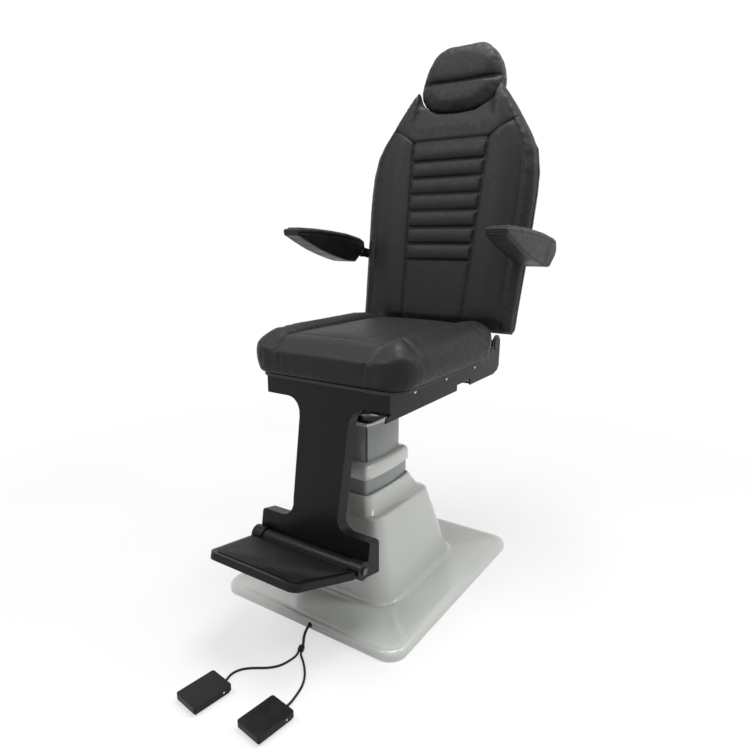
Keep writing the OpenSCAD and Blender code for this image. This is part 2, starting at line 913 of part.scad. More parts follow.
// Rows run straight up to the yoke and bend above it to follow the upper edge.
function row_height(x, t, drop) = let (
    low = back_foot + t * back_l,
    k = (t - yoke_share) / (1 - yoke_share),
    rise = yoke_rise * min(1, max(0, (abs(x) - panel_w / 2) / (shell_reach(t) - panel_w / 2)))
) t <= yoke_share
    ? low + rise * pow(t / yoke_share, 6)
    : (1 - k) * (yoke_z + rise) + k * top_edge(x, drop);

channel_step = 52;
channel_top = yoke_z - channel_step - 2 * channel_d;
cushion_rows = concat(
    [0, 0.015, 0.05],
    [
        for (k = [channel_count - 1:-1:0])
            let (t = (channel_top - k * channel_step - back_foot) / back_l, w = seam_w / back_l)
                each [t - w, t, t + w]
    ],
    [0.73, yoke_share - seam_w / back_l, yoke_share, yoke_share + seam_w / back_l],
    [0.83, 0.9, 0.96, 1]
);
// From the seam outwards: a crown, a valley, the edge's roll and its fall.
cushion_side_shares = [0.35, 0.74, 0.88, 1];
cushion_side_depths = [-3, 5, 0, 9];
foot_fall = 14;
top_fall = 10;
fall_limit = 16;

function is_channel(t) = len([
    for (k = [0:channel_count - 1])
        if (abs(back_foot + t * back_l - channel_top + k * channel_step) < over) k
]) > 0;

function cushion_columns(t) = let (
    seam = seam_reach(t),
    reach = cushion_reach(t),
    half = concat([0, seam / 2, seam - seam_w, seam, seam + seam_w],
        [for (f = cushion_side_shares) seam + seam_w + f * (reach - seam - seam_w)])
) concat([for (i = [len(half) - 1:-1:1]) -half[i]], half);

function cushion_depth(j, n, t) = let (
    mid = (n - 1) / 2,
    k = abs(j - mid),
    side = k > 4 ? cushion_side_depths[k - 5] : 0,
    end = foot_fall * pow(max(0, 1 - t / 0.03), 2) + top_fall * pow(max(0, (t - 0.93) / 0.07), 3),
    seam = k == 3 && t < yoke_share ? channel_d : 0,
    cross = k < 3 && is_channel(t) ? channel_d : 0,
    yoke = abs(t - yoke_share) < 0.001 && k < 7 ? channel_d : 0
) min(fall_limit, side + end + max(seam, cross, yoke));

cushion_front_inset = 6;
cushion_rear_inset = 8;
cushion_rim_levels = [[1, 20]];

function cushion_point(j, n, t, inset, depth) = let (
    x = cushion_columns(t)[j] * (1 - inset / (back_w / 2))
) [x, depth, row_height(x, t, inset * 0.6) + inset * 0.6 * pow(max(0, 1 - t / 0.1), 2)];

module back_cushion() {
    m = len(cushion_rows);
    n = len(cushion_columns(0));
    front = [
        for (t = cushion_rows)
            [for (j = [0:n - 1]) cushion_point(j, n, t, cushion_front_inset, cushion_depth(j, n, t))]
    ];
    rear = [
        for (t = cushion_rows)
            [for (j = [0:n - 1]) cushion_point(j, n, t, cushion_rear_inset, cushion_t - soft_gap)]
    ];
    rims = [
        for (l = cushion_rim_levels)
            [for (q = rim_order(m, n)) cushion_point(q[1], n, cushion_rows[q[0]], l[0], l[1])]
    ];
    back_space() pillow(front, rear, rims);
}

// The shell: a domed back, a flared band round the cushion and a pocket for the frame.

shell_rows = [0, 0.02, 0.05, 0.1, 0.16, 0.28, 0.36, 0.44, 0.55, 0.62, 0.69, 0.78, 0.83, 0.87, 0.905,
    0.94, 0.975, 1];
shell_columns = [-1, -0.95, -0.86, -0.72, -0.55, -0.42, -0.28, -0.14, 0, 0.14, 0.28, 0.42, 0.55,
    0.72, 0.86, 0.95, 1];
shell_rim_levels = [[10, 50], [12, 58], [18, 70]];
shell_front_inset = 10;
rear_inset = 28;
rear_edge = 86;
rear_taper = 22;
rear_lift = 36;

// Behind the cushion the shell draws in towards its shoulders.
function shell_taper(t, depth) = rear_taper * min(1, max(0, (t - 0.75) / 0.1))
    * min(1, (depth - cushion_t) / (rear_edge - cushion_t));

function shell_point(u, t, inset, depth, lift = 0) = let (
    x = u * (shell_reach(t) - inset - shell_taper(t, depth)),
    rise = lift * (back_top - top_edge(x, 0)) / (back_top - notch_z)
) [x, depth, row_height(x, t, inset * 0.6 - rise) + inset * 0.5 * pow(max(0, 1 - t / 0.1), 2)];

function rear_depth(u, t) = let (
    side = 1 - pow(abs(u), 5),
    low = 1 - pow(max(0, 1 - t / 0.16), 4),
    high = 1 - pow(max(0, (t - 0.78) / 0.22), 3) / 2
) rear_edge + (back_t - rear_edge) * side * low * high;

module pocket(polygon_points, depth0, depth1) {
    translate([0, depth1, 0]) rotate([90, 0, 0]) linear_extrude(depth1 - depth0) polygon(polygon_points);
}

frame_drop = 27;
frame_top = notch_z - frame_drop;
frame_low = -8;
pocket_bend = 400;

module back_shell() {
    m = len(shell_rows);
    n = len(shell_columns);
    front = [for (t = shell_rows) [for (u = shell_columns) shell_point(u, t, shell_front_inset, cushion_t)]];
    rear = [for (t = shell_rows) [for (u = shell_columns) shell_point(u, t, rear_inset, rear_depth(u, t), rear_lift)]];
    rims = [
        for (l = shell_rim_levels)
            [for (q = rim_order(m, n)) shell_point(shell_columns[q[1]], shell_rows[q[0]], l[0], l[1])]
    ];
    back_space()
        difference() {
            pillow(front, rear, rims);
            pocket([[-pocket_w, frame_low], [pocket_w, frame_low], [pocket_w, pocket_bend],
                [flat_x + flat_t, yoke_z], [flat_x + flat_t, frame_top], [-flat_x - flat_t, frame_top],
                [-flat_x - flat_t, yoke_z], [-pocket_w, pocket_bend]],
                cushion_t - over, flat_depth + flat_w);
            both_sides() {
                translate([flat_x - flat_t / 2 - over, flat_depth - over, back_foot - lip_w])
                    cube([flat_t + 2 * over, flat_w + 2 * over, 2 * lip_w]);
                translate([pocket_w - over, arm_bar_depth - over, arm_pin_s - arm_bar / 2 - over])
                    cube([back_w / 2, arm_bar + 2 * over, arm_bar + 2 * over]);
                translate([post_x, post_depth, socket_s - over])
                    cylinder(r = socket_r + over, h = back_l);
                translate([post_x, post_depth, post_s - over])
                    cylinder(r = post_r + over, h = socket_s - post_s + 2 * over);
            }
            translate([-flat_x - over, flat_depth, top_bar_s - over])
                cube([2 * (flat_x + over), post_depth + socket_r + sheet - flat_depth + over, lip_w + 2 * over]);
        }
}

pocket_w = 226;

// Frame of the back: two flats, cross bars and the arm bar.

flat_x = 150;
flat_t = 8;
flat_w = 34;
flat_depth = 64;
hub_w = 16;
hub_r = 22;
low_bar_s = 20;
mid_bar_drop = 163;
bar_s = [low_bar_s, yoke_z - mid_bar_drop];
top_bar_drop = 61;
top_bar_s = notch_z - top_bar_drop;
arm_bar = 20;
arm_bar_depth = 70;
arm_pin_s = 213;
arm_pin_r = 8;
arm_plate_t = 6;
arm_plate_x = 289;
arm_plate_w = 30;
arm_eye_r = 18;

// The pivot in the back's own directions.
pivot_depth = (pivot_y - back_y) * cos(recline) - (pivot_z - back_z) * sin(recline);
pivot_s = (pivot_y - back_y) * sin(recline) + (pivot_z - back_z) * cos(recline);

module back_frame() {
    back_space()
        difference() {
            union() {
                both_sides() {
                    translate([flat_x - flat_t / 2, flat_depth, pivot_s])
                        cube([flat_t, flat_w, frame_top - pivot_s - over]);
                    translate([0, pivot_depth, pivot_s]) bar_x(flat_x - hub_w / 2, flat_x + hub_w / 2, hub_r);
                    translate([arm_plate_x, 0, arm_pin_s - arm_plate_w / 2])
                        cube([arm_plate_t, arm_bar_depth + arm_bar, arm_plate_w]);
                    translate([0, 0, arm_pin_s])
                        bar_x(arm_plate_x, arm_plate_x + arm_plate_t, arm_eye_r);
                }
                for (s = bar_s) {
                    translate([-flat_x, flat_depth + flat_t, s]) cube([2 * flat_x, flat_t, lip_w]);
                }
                translate([-flat_x, post_depth - socket_r - sheet, top_bar_s])
                    cube([2 * flat_x, 2 * (socket_r + sheet), lip_w]);
                translate([-arm_plate_x, arm_bar_depth, arm_pin_s - arm_bar / 2])
                    cube([2 * arm_plate_x, arm_bar, arm_bar]);
            }
            translate([0, pivot_depth, pivot_s]) bar_x(-back_w, back_w, shaft_r);
            both_sides() {
                translate([post_x, post_depth, top_bar_s - over]) cylinder(r = socket_r, h = lip_w + 2 * over);
                translate([0, 0, arm_pin_s]) bar_x(flat_x, back_w, arm_pin_r);
            }
        }
}

module recline_shaft() {
    translate([0, pivot_y, pivot_z]) bar_x(-frame_w / 2 - sheet / 2, frame_w / 2 + sheet / 2, shaft_r);
}

module arm_pins() {
    back_space()
        both_sides()
            translate([0, 0, arm_pin_s]) bar_x(arm_plate_x, arm_in + arm_w / 2, arm_pin_r);
}

// Headrest carrier.

post_x = 45;
post_depth = 92;
post_r = 7;
socket_r = 11;
post_sunk = 155;
socket_sunk = 95;
axle_rise = 95;
socket_s = head_foot - socket_sunk;
post_s = head_foot - post_sunk;
axle_s = head_foot + axle_rise;
axle_r = 5;
axle_w = 124;
post_top = axle_s + post_r;

module post_sockets() {
    back_space()
        both_sides()
            translate([post_x, post_depth, socket_s])
                difference() {
                    cylinder(r = socket_r, h = notch_z - socket_s);
                    translate([0, 0, -over]) cylinder(r = post_r + run_gap, h = back_l);
                }
}

module headrest_posts() {
    back_space()
        both_sides()
            difference() {
                translate([post_x, post_depth, post_s]) cylinder(r = post_r, h = post_top - post_s);
                translate([0, post_depth, axle_s]) bar_x(0, axle_w, axle_r);
            }
}

module tilt_axle() {
    back_space() translate([0, post_depth, axle_s]) bar_x(-axle_w / 2, axle_w / 2, axle_r);
}

// Headrest: a cushion on a thin shell with two lugs round the tilt axle.

head_front = 18;
head_crease_share = 0.45;
head_shell_t = 20;
lug_r = 11;
lug_t = 7;
head_shares = [[0, 0.36], [0.03, 0.55], [0.08, 0.73], [0.15, 0.865], [0.24, 0.96], [0.33, 1],
    [0.45, 1], [0.60, 0.95], [0.72, 0.88], [0.85, 0.75], [0.92, 0.65], [0.97, 0.54], [1, 0.42]];
head_columns = [-1, -0.93, -0.8, -0.6, -0.3, 0, 0.3, 0.6, 0.8, 0.93, 1];
head_rows = [0, 0.03, 0.08, 0.15, 0.24, 0.33, 0.42, 0.45, 0.48, 0.60, 0.72, 0.85, 0.92, 0.97, 1];
head_rim_levels = [[0, 16], [0, 30]];
head_front_inset = 3;
head_rear_inset = 2;
head_side_fall = 10;
head_end_fall = 10;
head_top_fall = 8;
head_shell_front = 3;
head_shell_rear = 12;
// Each level of the shell's side: an inset, and a share of its thickness.
head_shell_levels = [[0, 0.45], [4, 0.9]];

function head_point(u, t, inset, depth) = let (
    k = 1 - inset / (head_w / 2),
    v = head_foot + head_l / 2 + (t - 1 / 2) * head_l * k
) [u * k * head_w / 2 * lookup(t, head_shares), head_front + depth, v];

function head_depth(u, t) = head_side_fall * pow(abs(u), 6) + head_end_fall * pow(abs(2 * t - 1), 8)
    + (abs(t - head_crease_share) < 0.01 ? channel_d / 2 : 0) + head_top_fall * pow(max(0, t - 0.5), 2);

module headrest_cushion() {
    m = len(head_rows);
    n = len(head_columns);
    front = [for (t = head_rows) [for (u = head_columns) head_point(u, t, head_front_inset, head_depth(u, t))]];
    rear = [for (t = head_rows) [for (u = head_columns) head_point(u, t, head_rear_inset, head_t)]];
    rims = [
        for (l = head_rim_levels)
            [for (q = rim_order(m, n)) head_point(head_columns[q[1]], head_rows[q[0]], l[0], l[1])]
    ];
    back_space() pillow(front, rear, rims);
}

module headrest_shell() {
    m = len(head_rows);
    n = len(head_columns);
    front = [for (t = head_rows) [for (u = head_columns) head_point(u, t, head_shell_front, head_t)]];
    rear = [
        for (t = head_rows)
            [for (u = head_columns) head_point(u, t, head_shell_rear, head_t + head_shell_t)]
    ];
    rims = [
        for (l = head_shell_levels)
            [
                for (q = rim_order(m, n))
                    head_point(head_columns[q[1]], head_rows[q[0]], l[0], head_t + l[1] * head_shell_t)
            ]
    ];
    back_space() pillow(front, rear, rims);
}

module headrest_bracket() {
    rear = head_front + head_t + head_shell_t;
    x0 = axle_w / 2 - lug_t - over;
    back_space()
        both_sides()
            difference() {
                union() {
                    translate([0, post_depth, axle_s]) bar_x(x0, x0 + lug_t, lug_r);
                    translate([x0, rear, axle_s - lug_r]) cube([lug_t, post_depth - rear, 2 * lug_r]);
                    translate([x0 - lug_r, rear, axle_s - lip_w])
                        cube([lug_t + 2 * lug_r, over, 2 * lip_w]);
                }
                translate([0, post_depth, axle_s]) bar_x(0, axle_w, axle_r + run_gap);
            }
}

// Armrests: rounded sections from the rear to the front, hollow below.

arm_ahead = 281;
arm_front = back_y - arm_ahead;
arm_corner = 7;
pad_t = 8;
pad_inset = 5;
pad_lift = 0.5;

// Each row: share of the length from the front, outer width share, drop of the top, depth below it.
arm_h = 108;
arm_shares = [[0, 0.80], [0.05, 0.84], [0.15, 0.87], [0.25, 0.89], [0.32, 0.90], [0.49, 0.92],
    [0.73, 0.95], [0.85, 0.98], [0.95, 1], [1, 0.96]];
arm_top_shares = [[0, 0.02], [0.05, 0], [0.25, 0.02], [0.49, 0.075], [0.73, 0.157], [0.85, 0.23],
    [0.95, 0.296], [1, 0.37]];
arm_low_shares = [[0, 0.19], [0.05, 0.25], [0.15, 0.39], [0.25, 0.52], [0.32, 0.61], [0.42, 0.71],
    [0.49, 0.78], [0.62, 0.89], [0.73, 0.97], [0.85, 1], [0.95, 0.76], [1, 0.65]];

function arm_ring(t) = let (
    w = arm_w * lookup(t, arm_shares),
    z1 = arm_z - arm_h * lookup(t, arm_top_shares),
    z0 = arm_z - arm_h * lookup(t, arm_low_shares),
    hz = (z1 - z0) / 2
) [for (p = rounded(w / 2, hz, min(arm_corner, hz * 0.6), 3))
    [arm_in + w / 2 + p[0], arm_front + t * arm_l, z0 + hz + p[1]]];

arm_stations = [1, 0.95, 0.85, 0.73, 0.6, 0.49, 0.4, 0.32, 0.25, 0.15, 0.05, 0];

module armrest() {
    difference() {
        loft([for (t = arm_stations) arm_ring(t)]);
        back_space() translate([0, 0, arm_pin_s]) bar_x(arm_in - over, arm_in + arm_w / 2 + over, hub_hole_r);
    }
}

function pad_ring(t, w_inset, lift) = let (
    w = arm_w * lookup(t, arm_shares),
    z = arm_z - arm_h * lookup(t, arm_top_shares) + lift
) [arm_in + w / 2, w / 2 - w_inset, arm_front + t * arm_l, z];

function pad_section(t) = let (
    a = pad_ring(t, pad_inset, 0),
    half = a[1]
) [[a[0] - half, a[2], a[3]], [a[0] + half, a[2], a[3]],
    [a[0] + half, a[2], a[3] + pad_lift], [a[0] + half - pad_inset, a[2], a[3] + pad_t / 3],
    [a[0] - half + pad_inset, a[2], a[3] + pad_t / 3], [a[0] - half, a[2], a[3] + pad_lift]];

module arm_pad() {
    loft([for (t = [0.95, 0.85, 0.73, 0.6, 0.49, 0.4, 0.25, 0.15, 0.05]) pad_section(t)]);
}

hub_hole_r = 14;

module arm_hub() {
    back_space()
        translate([0, 0, arm_pin_s])
            difference() {
                bar_x(arm_in, arm_in + arm_w / 2, hub_hole_r);
                bar_x(0, back_w, arm_pin_r + run_gap);
            }
}

// Foot switches: a case on the floor, a capping pedal and a pin across.

switch_left = [-12.5, -650];
switch_right = [151, -631];
case_h = 10;
case_inset = 4;
pedal_wall = 2.5;
pedal_top = 4;
pedal_low = 6;
switch_corner = 5;
pin_y = 26;
pin_z = 12.5;
switch_pin_r = 2;
block_w = 20;

module switch_space(place) {
    translate([place[0], place[1], 0]) rotate([0, 0, switch_turn]) children();
}

module switch_case() {
    difference() {
        union() {
            linear_extrude(case_h)
                polygon(rounded(switch_w / 2 - case_inset, switch_l / 2 - case_inset, switch_corner - pedal_wall));
            translate([-block_w / 2, pin_y - 2 * switch_pin_r, case_h - over])
                cube([block_w, 4 * switch_pin_r, pin_z + switch_pin_r - case_h + 3 * run_gap + over]);
        }
        translate([0, pin_y, pin_z]) bar_x(-switch_w, switch_w, switch_pin_r);
    }
}

module pedal() {
    difference() {
        translate([0, 0, pedal_low])
            linear_extrude(switch_h - pedal_low) polygon(rounded(switch_w / 2, switch_l / 2, switch_corner));
        translate([0, 0, pedal_low - over])
            linear_extrude(switch_h - pedal_low - pedal_top + over)
                polygon(rounded(switch_w / 2 - pedal_wall, switch_l / 2 - pedal_wall, switch_corner - pedal_wall));
        translate([0, pin_y, pin_z]) bar_x(-switch_w, switch_w, switch_pin_r + run_gap);
        translate([0, switch_l / 2, pedal_low])
            cube([2 * branch_d, 4 * pedal_wall, 2 * branch_d], center = true);
    }
}

module switch_pins() {
    for (place = [switch_left, switch_right]) {
        switch_space(place)
            translate([0, pin_y, pin_z])
                bar_x(-switch_w / 2 - run_gap, switch_w / 2 + run_gap, switch_pin_r);
    }
}

cell_l = 18;
cell_h = 1.5;

module switch_cells() {
    for (place = [switch_left, switch_right]) {
        switch_space(place)
            translate([-cell_l / 2, -switch_l / 4, case_h]) cube([cell_l, cell_l, cell_h]);
    }
}

// Cords lie on the floor. Each route is a list of hand-chosen points.

gland_x = 29;
gland_z = 11;
gland_r = 7;
gland_l = 20;
gland_in = 20;
splitter_size = [14, 18, 9];
splitter_place = [64, -420, 5];
splitter_turn = 25;

main_route = [[29, -338, 11], [29, -345, 11], [29.2, -352, 10.2], [30.5, -360, 7.8], [33.5, -369, 5],
    [38, -378, 3.8], [44, -387, 3.6], [50, -395, 3.7], [55.5, -402.5, 4.3], [60.2, -411.8, 5]];
left_route = [[64.6, -429.8, 5], [66.6, -434.1, 4.7], [68.4, -440, 4], [69, -448, 3.2], [68.4, -457, 2.9],
    [66.6, -468, 2.9], [64, -479, 2.9], [59.5, -490, 2.9], [52, -501, 2.9], [42, -511, 2.9],
    [30, -520, 2.9], [17, -529, 2.9], [4.5, -539, 2.9], [-5, -550, 2.9], [-10.6, -562, 2.9],
    [-11.8, -573, 3.3], [-9.6, -583, 4.2], [-6.6, -591.4, 5], [-5.9, -599.5, 5.2],
    [-6.9, -607.3, 5.2]];
right_route = [[71.1, -426.7, 5], [73.2, -431.2, 4.7], [78, -437, 4], [84, -441.6, 3.3], [91, -446.6, 2.9],
    [99, -453, 2.9], [108, -461, 2.9], [117, -470, 2.9], [126, -480, 2.9], [134, -491, 2.9],
    [140.5, -502, 2.9], [145.8, -514, 2.9], [149.8, -527, 2.9], [152.8, -540, 2.9], [155.4, -552, 3.2],
    [157.4, -562, 4.2], [158.3, -571.5, 5], [157.6, -580.4, 5.2], [156.6, -588.3, 5.2]];

function unit(v) = v / norm(v);

module cord(route, d, sides) {
    m = len(route);
    points = [
        for (i = [0:m - 1])
            let (
                t = unit(route[min(m - 1, i + 1)] - route[max(0, i - 1)]),
                a = unit(cross([0, 0, 1], t)),
                b = cross(t, a)
            )
                for (j = [0:sides - 1])
                    route[i] + d / 2 * (cos(360 * j / sides) * a + sin(360 * j / sides) * b)
    ];
    sides_faces = [
        for (i = [0:m - 2])
            for (j = [0:sides - 1])
                let (p = i * sides + j, q = i * sides + (j + 1) % sides)
                    each [[p, p + sides, q + sides], [p, q + sides, q]]
    ];
    low = [for (j = [0:sides - 1]) j];
    high = [for (j = [sides - 1:-1:0]) (m - 1) * sides + j];
    polyhedron(points, concat([low], [high], sides_faces));
}

module cord_gland() {
    translate([gland_x, gland_in - base_l / 2, gland_z])
        rotate([90, 0, 0])
            difference() {
                cylinder(r = gland_r, h = gland_l);
                translate([0, 0, gland_l / 2]) cylinder(r = cord_d / 2 + run_gap, h = gland_l);
            }
}

module cord_splitter() {
    translate(splitter_place)
        rotate([0, 0, splitter_turn])
            linear_extrude(splitter_size[2], center = true)
                polygon(rounded(splitter_size[0] / 2, splitter_size[1] / 2, branch_d / 2));
}

color("#8a8d90") floor_plate();
color("#222222") base_feet();
color("#d5d8d8") base_cover();
color("#d5d8d8") pedestal_cover();
color("#8a8d90") column_outer();
color("#333333") lift_motor();
color("#b0b2b4") lift_screw();
color("#333333") control_box();
color("#222222") mains_inlet();
color("#222222") cord_gland();
color("#222222") cord(main_route, cord_d, 10);  // cord_main
color("#222222") cord_splitter();
color("#222222") cord(left_route, branch_d, 8);  // cord_left
color("#222222") cord(right_route, branch_d, 8);  // cord_right
color("#333333") switch_space(switch_left) switch_case();  // switch_case_left
color("#333333") switch_space(switch_right) switch_case();  // switch_case_right
color("#b0b2b4") switch_pins();
color("#444444") switch_cells();
color("#9a9c9e") column_mid();
color("#d5d8d8") wiper_ring();
color("#9a9c9e") column_inner();
color("#e8e8e0") inner_guide();
color("#c5c8c8") column_cap();
color("#222222") head_plate();
color("#b0b2b4") swivel_ring();
color("#b08d3c") lift_nut();
color("#222222") turntable();
color("#2b2b2b") seat_frame();
color("#b0b2b4") rail_screws();
color("#b0b2b4") flange_bolts();
color("#b08d3c") recline_bushes();
color("#333333") recline_motor();
color("#b48a5a") seat_board();
color("#3a3a3c") seat_cushion();
color("#2b2b2b") leg_plate();
color("#2b2b2b") foot_plate();
color("#1a1a1a") foot_mat();
color("#b0b2b4") foot_pins();
color("#333333") back_frame();
color("#b0b2b4") recline_shaft();
color("#2b2b2d") back_shell();
color("#3a3a3c") back_cushion();
color("#b0b2b4") arm_pins();
color("#444444") post_sockets();
color("#c8cacc") headrest_posts();
color("#b0b2b4") tilt_axle();
color("#2b2b2d") headrest_shell();
color("#333333") headrest_bracket();
color("#3a3a3c") headrest_cushion();
color("#3a3b3d") mirror([1, 0, 0]) armrest();  // armrest_left
color("#55575a") mirror([1, 0, 0]) arm_pad();  // arm_pad_left
color("#b08d3c") mirror([1, 0, 0]) arm_hub();  // arm_hub_left
color("#3a3b3d") armrest();  // armrest_right
color("#55575a") arm_pad();  // arm_pad_right
color("#b08d3c") arm_hub();  // arm_hub_right
color("#2b2b2b") switch_space(switch_left) pedal();  // pedal_left
color("#2b2b2b") switch_space(switch_right) pedal();  // pedal_right
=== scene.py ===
import json
import math

import bmesh
import bpy
import numpy as np
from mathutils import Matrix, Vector

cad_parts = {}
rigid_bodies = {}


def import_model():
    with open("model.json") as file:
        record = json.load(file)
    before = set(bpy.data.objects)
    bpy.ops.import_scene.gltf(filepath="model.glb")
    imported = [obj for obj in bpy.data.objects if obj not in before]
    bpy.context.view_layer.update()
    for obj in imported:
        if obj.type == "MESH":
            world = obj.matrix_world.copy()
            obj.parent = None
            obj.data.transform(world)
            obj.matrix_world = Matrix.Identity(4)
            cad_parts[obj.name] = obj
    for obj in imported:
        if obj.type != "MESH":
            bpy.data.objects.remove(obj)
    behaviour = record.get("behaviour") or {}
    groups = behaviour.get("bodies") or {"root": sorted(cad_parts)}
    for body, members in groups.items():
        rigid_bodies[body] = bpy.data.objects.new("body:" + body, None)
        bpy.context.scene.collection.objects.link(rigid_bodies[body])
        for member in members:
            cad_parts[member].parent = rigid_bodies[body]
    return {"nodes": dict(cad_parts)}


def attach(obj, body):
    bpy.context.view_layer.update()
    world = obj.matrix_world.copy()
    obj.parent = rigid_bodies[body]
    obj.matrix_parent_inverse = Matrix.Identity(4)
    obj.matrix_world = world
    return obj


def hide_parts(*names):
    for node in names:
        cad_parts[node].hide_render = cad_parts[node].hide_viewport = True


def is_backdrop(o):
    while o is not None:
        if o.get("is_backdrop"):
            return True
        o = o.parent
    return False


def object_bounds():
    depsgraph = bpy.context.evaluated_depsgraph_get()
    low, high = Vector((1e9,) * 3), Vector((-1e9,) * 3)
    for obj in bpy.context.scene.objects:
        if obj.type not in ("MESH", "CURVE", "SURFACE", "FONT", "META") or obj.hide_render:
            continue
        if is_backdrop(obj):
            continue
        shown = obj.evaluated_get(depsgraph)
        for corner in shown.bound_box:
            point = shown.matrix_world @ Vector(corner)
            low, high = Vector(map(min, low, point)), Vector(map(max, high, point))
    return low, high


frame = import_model()
cad_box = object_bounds()
NODES = frame["nodes"]

# Camera: found from the photograph's lines, in the chair's own frame, in metres.

CAMERA_PLACE = (0.9126, -1.368, 0.972)
CAMERA_AZIMUTH = 33.8
CAMERA_PITCH = 13
CAMERA_LENS = 28.8
CAMERA_SENSOR = 36
CAMERA_REACH = 60


def make_camera():
    data = bpy.data.cameras.new("camera")
    data.lens = CAMERA_LENS
    data.sensor_width = CAMERA_SENSOR
    data.clip_end = CAMERA_REACH
    camera = bpy.data.objects.new("camera", data)
    camera.location = CAMERA_PLACE
    camera.rotation_euler = (math.radians(90 - CAMERA_PITCH), 0, math.radians(CAMERA_AZIMUTH))
    bpy.context.scene.collection.objects.link(camera)
    bpy.context.scene.camera = camera


make_camera()

# Materials: each is a node tree on object coordinates, so the grain stays on its piece.

WHITE = (1, 1, 1, 1)


def linear(value):
    value = value / 255
    return value / 12.92 if value <= 0.04045 else ((value + 0.055) / 1.055) ** 2.4


def shade(red, green, blue):
    return (linear(red), linear(green), linear(blue), 1)


class Tree:
    """A material's nodes, with short calls to add them."""

    def __init__(self, name):
        self.material = bpy.data.materials.new(name)
        self.material.use_nodes = True
        self.nodes = self.material.node_tree.nodes
        self.links = self.material.node_tree.links
        self.shader = self.nodes["Principled BSDF"]
        self.place = self.nodes.new("ShaderNodeTexCoord").outputs["Object"]

    def noise(self, scale, detail=3.0, rough=0.55, stretch=None):
        node = self.nodes.new("ShaderNodeTexNoise")
        node.inputs["Scale"].default_value = scale
        node.inputs["Detail"].default_value = detail
        node.inputs["Roughness"].default_value = rough
        self.links.new(self.stretched(stretch), node.inputs["Vector"])
        return node.outputs["Fac"]

    def cells(self, scale):
        node = self.nodes.new("ShaderNodeTexVoronoi")
        node.inputs["Scale"].default_value = scale
        self.links.new(self.place, node.inputs["Vector"])
        return node.outputs["Distance"]

    def stretched(self, stretch):
        if stretch is None:
            return self.place
        node = self.nodes.new("ShaderNodeMapping")
        node.inputs["Scale"].default_value = stretch
        self.links.new(self.place, node.inputs["Vector"])
        return node.outputs["Vector"]

    def ramp(self, source, stops):
        node = self.nodes.new("ShaderNodeValToRGB")
        ramp = node.color_ramp
        while len(ramp.elements) < len(stops):
            ramp.elements.new(0.5)
        for element, (place, colour) in zip(ramp.elements, stops):
            element.position = place
            element.color = colour
        self.links.new(source, node.inputs["Fac"])
        return node.outputs["Color"]

    def span(self, source, low, high, start=0.3, end=0.7):
        node = self.nodes.new("ShaderNodeMapRange")
        limits = {"From Min": start, "From Max": end, "To Min": low, "To Max": high}
        for name, value in limits.items():
            node.inputs[name].default_value = value
        self.links.new(source, node.inputs["Value"])
        return node.outputs["Result"]

    def mix(self, a, b, share):
        """Two height fields added, the second weighted by share."""
        node = self.nodes.new("ShaderNodeMath")
        node.operation = "MULTIPLY_ADD"
        node.inputs[1].default_value = share
        self.links.new(b, node.inputs[0])
        self.links.new(a, node.inputs[2])
        return node.outputs[0]

    def bump(self, height, strength, distance):
        node = self.nodes.new("ShaderNodeBump")
        node.inputs["Strength"].default_value = strength
        node.inputs["Distance"].default_value = distance
        self.links.new(height, node.inputs["Height"])
        self.links.new(node.outputs["Normal"], self.shader.inputs["Normal"])

    def set(self, **values):
        for name, value in values.items():
            self.shader.inputs[name.replace("_", " ")].default_value = value

    def colour(self, source):
        self.links.new(source, self.shader.inputs["Base Color"])

    def rough(self, source):
        self.links.new(source, self.shader.inputs["Roughness"])


def spread(colour, share):
    """A darker and a lighter shade of a colour."""
    return [tuple(min(1, c * k) for c in colour[:3]) + (1,) for k in (1 - share, 1 + share)]


def finish(name, colour, rough, grain, depth, share, metal=0.0, coat=0.0, coat_rough=0.05,
           cloud=9.0, specular=0.5, swing=0.08):
    """A plain finish: slow colour change, a fine grain in the surface and uneven gloss."""
    tree = Tree(name)
    low, high = spread(colour, share)
    tree.colour(tree.ramp(tree.noise(cloud), [(0.35, low), (0.65, high)]))
    tree.rough(tree.span(tree.noise(cloud * 4), max(0.02, rough - swing), rough + swing))
    tree.bump(tree.noise(grain, detail=2), 0.35, depth)
    tree.set(Metallic=metal, Specular_IOR_Level=specular)
    tree.set(Coat_Weight=coat, Coat_Roughness=coat_rough)
    return tree.material


def leather(name, colour, rough=0.42, pebble=650.0, gloss=0.2):
    """Upholstery leather: small pebbles, slow folds and uneven gloss, with painted shade in the low
    parts of their relief.
    """
    tree = Tree(name)
    cells = tree.cells(pebble)
    folds = tree.noise(28, detail=4, rough=0.6)
    low, high = spread(colour, 0.16)
    # Painted shade: the colour follows the pebble and fold relief of the bump below, darker where
    # the relief lies low.
    tree.colour(tree.ramp(tree.mix(folds, cells, 0.35), [(0.35, low), (0.85, high)]))
    tree.rough(tree.span(tree.mix(tree.noise(70), cells, 0.25), rough - 0.07, rough + 0.12))
    tree.bump(tree.mix(folds, cells, 0.55), 0.4, 0.0003)
    tree.set(Specular_IOR_Level=gloss)
    return tree.material


def powder_coat(name, colour, rough):
    """Fine-texture powder coat on steel: small rounded pits and an even satin."""
    tree = Tree(name)
    pits = tree.cells(900)
    low, high = spread(colour, 0.2)
    tree.colour(tree.ramp(tree.noise(60, detail=5), [(0.35, low), (0.7, high)]))
    tree.rough(tree.span(tree.noise(130), rough - 0.06, rough + 0.1))
    tree.bump(tree.mix(tree.noise(500), pits, 0.8), 0.45, 0.0002)
    tree.set(Specular_IOR_Level=0.12, Coat_Weight=0.16, Coat_Roughness=0.22)
    return tree.material


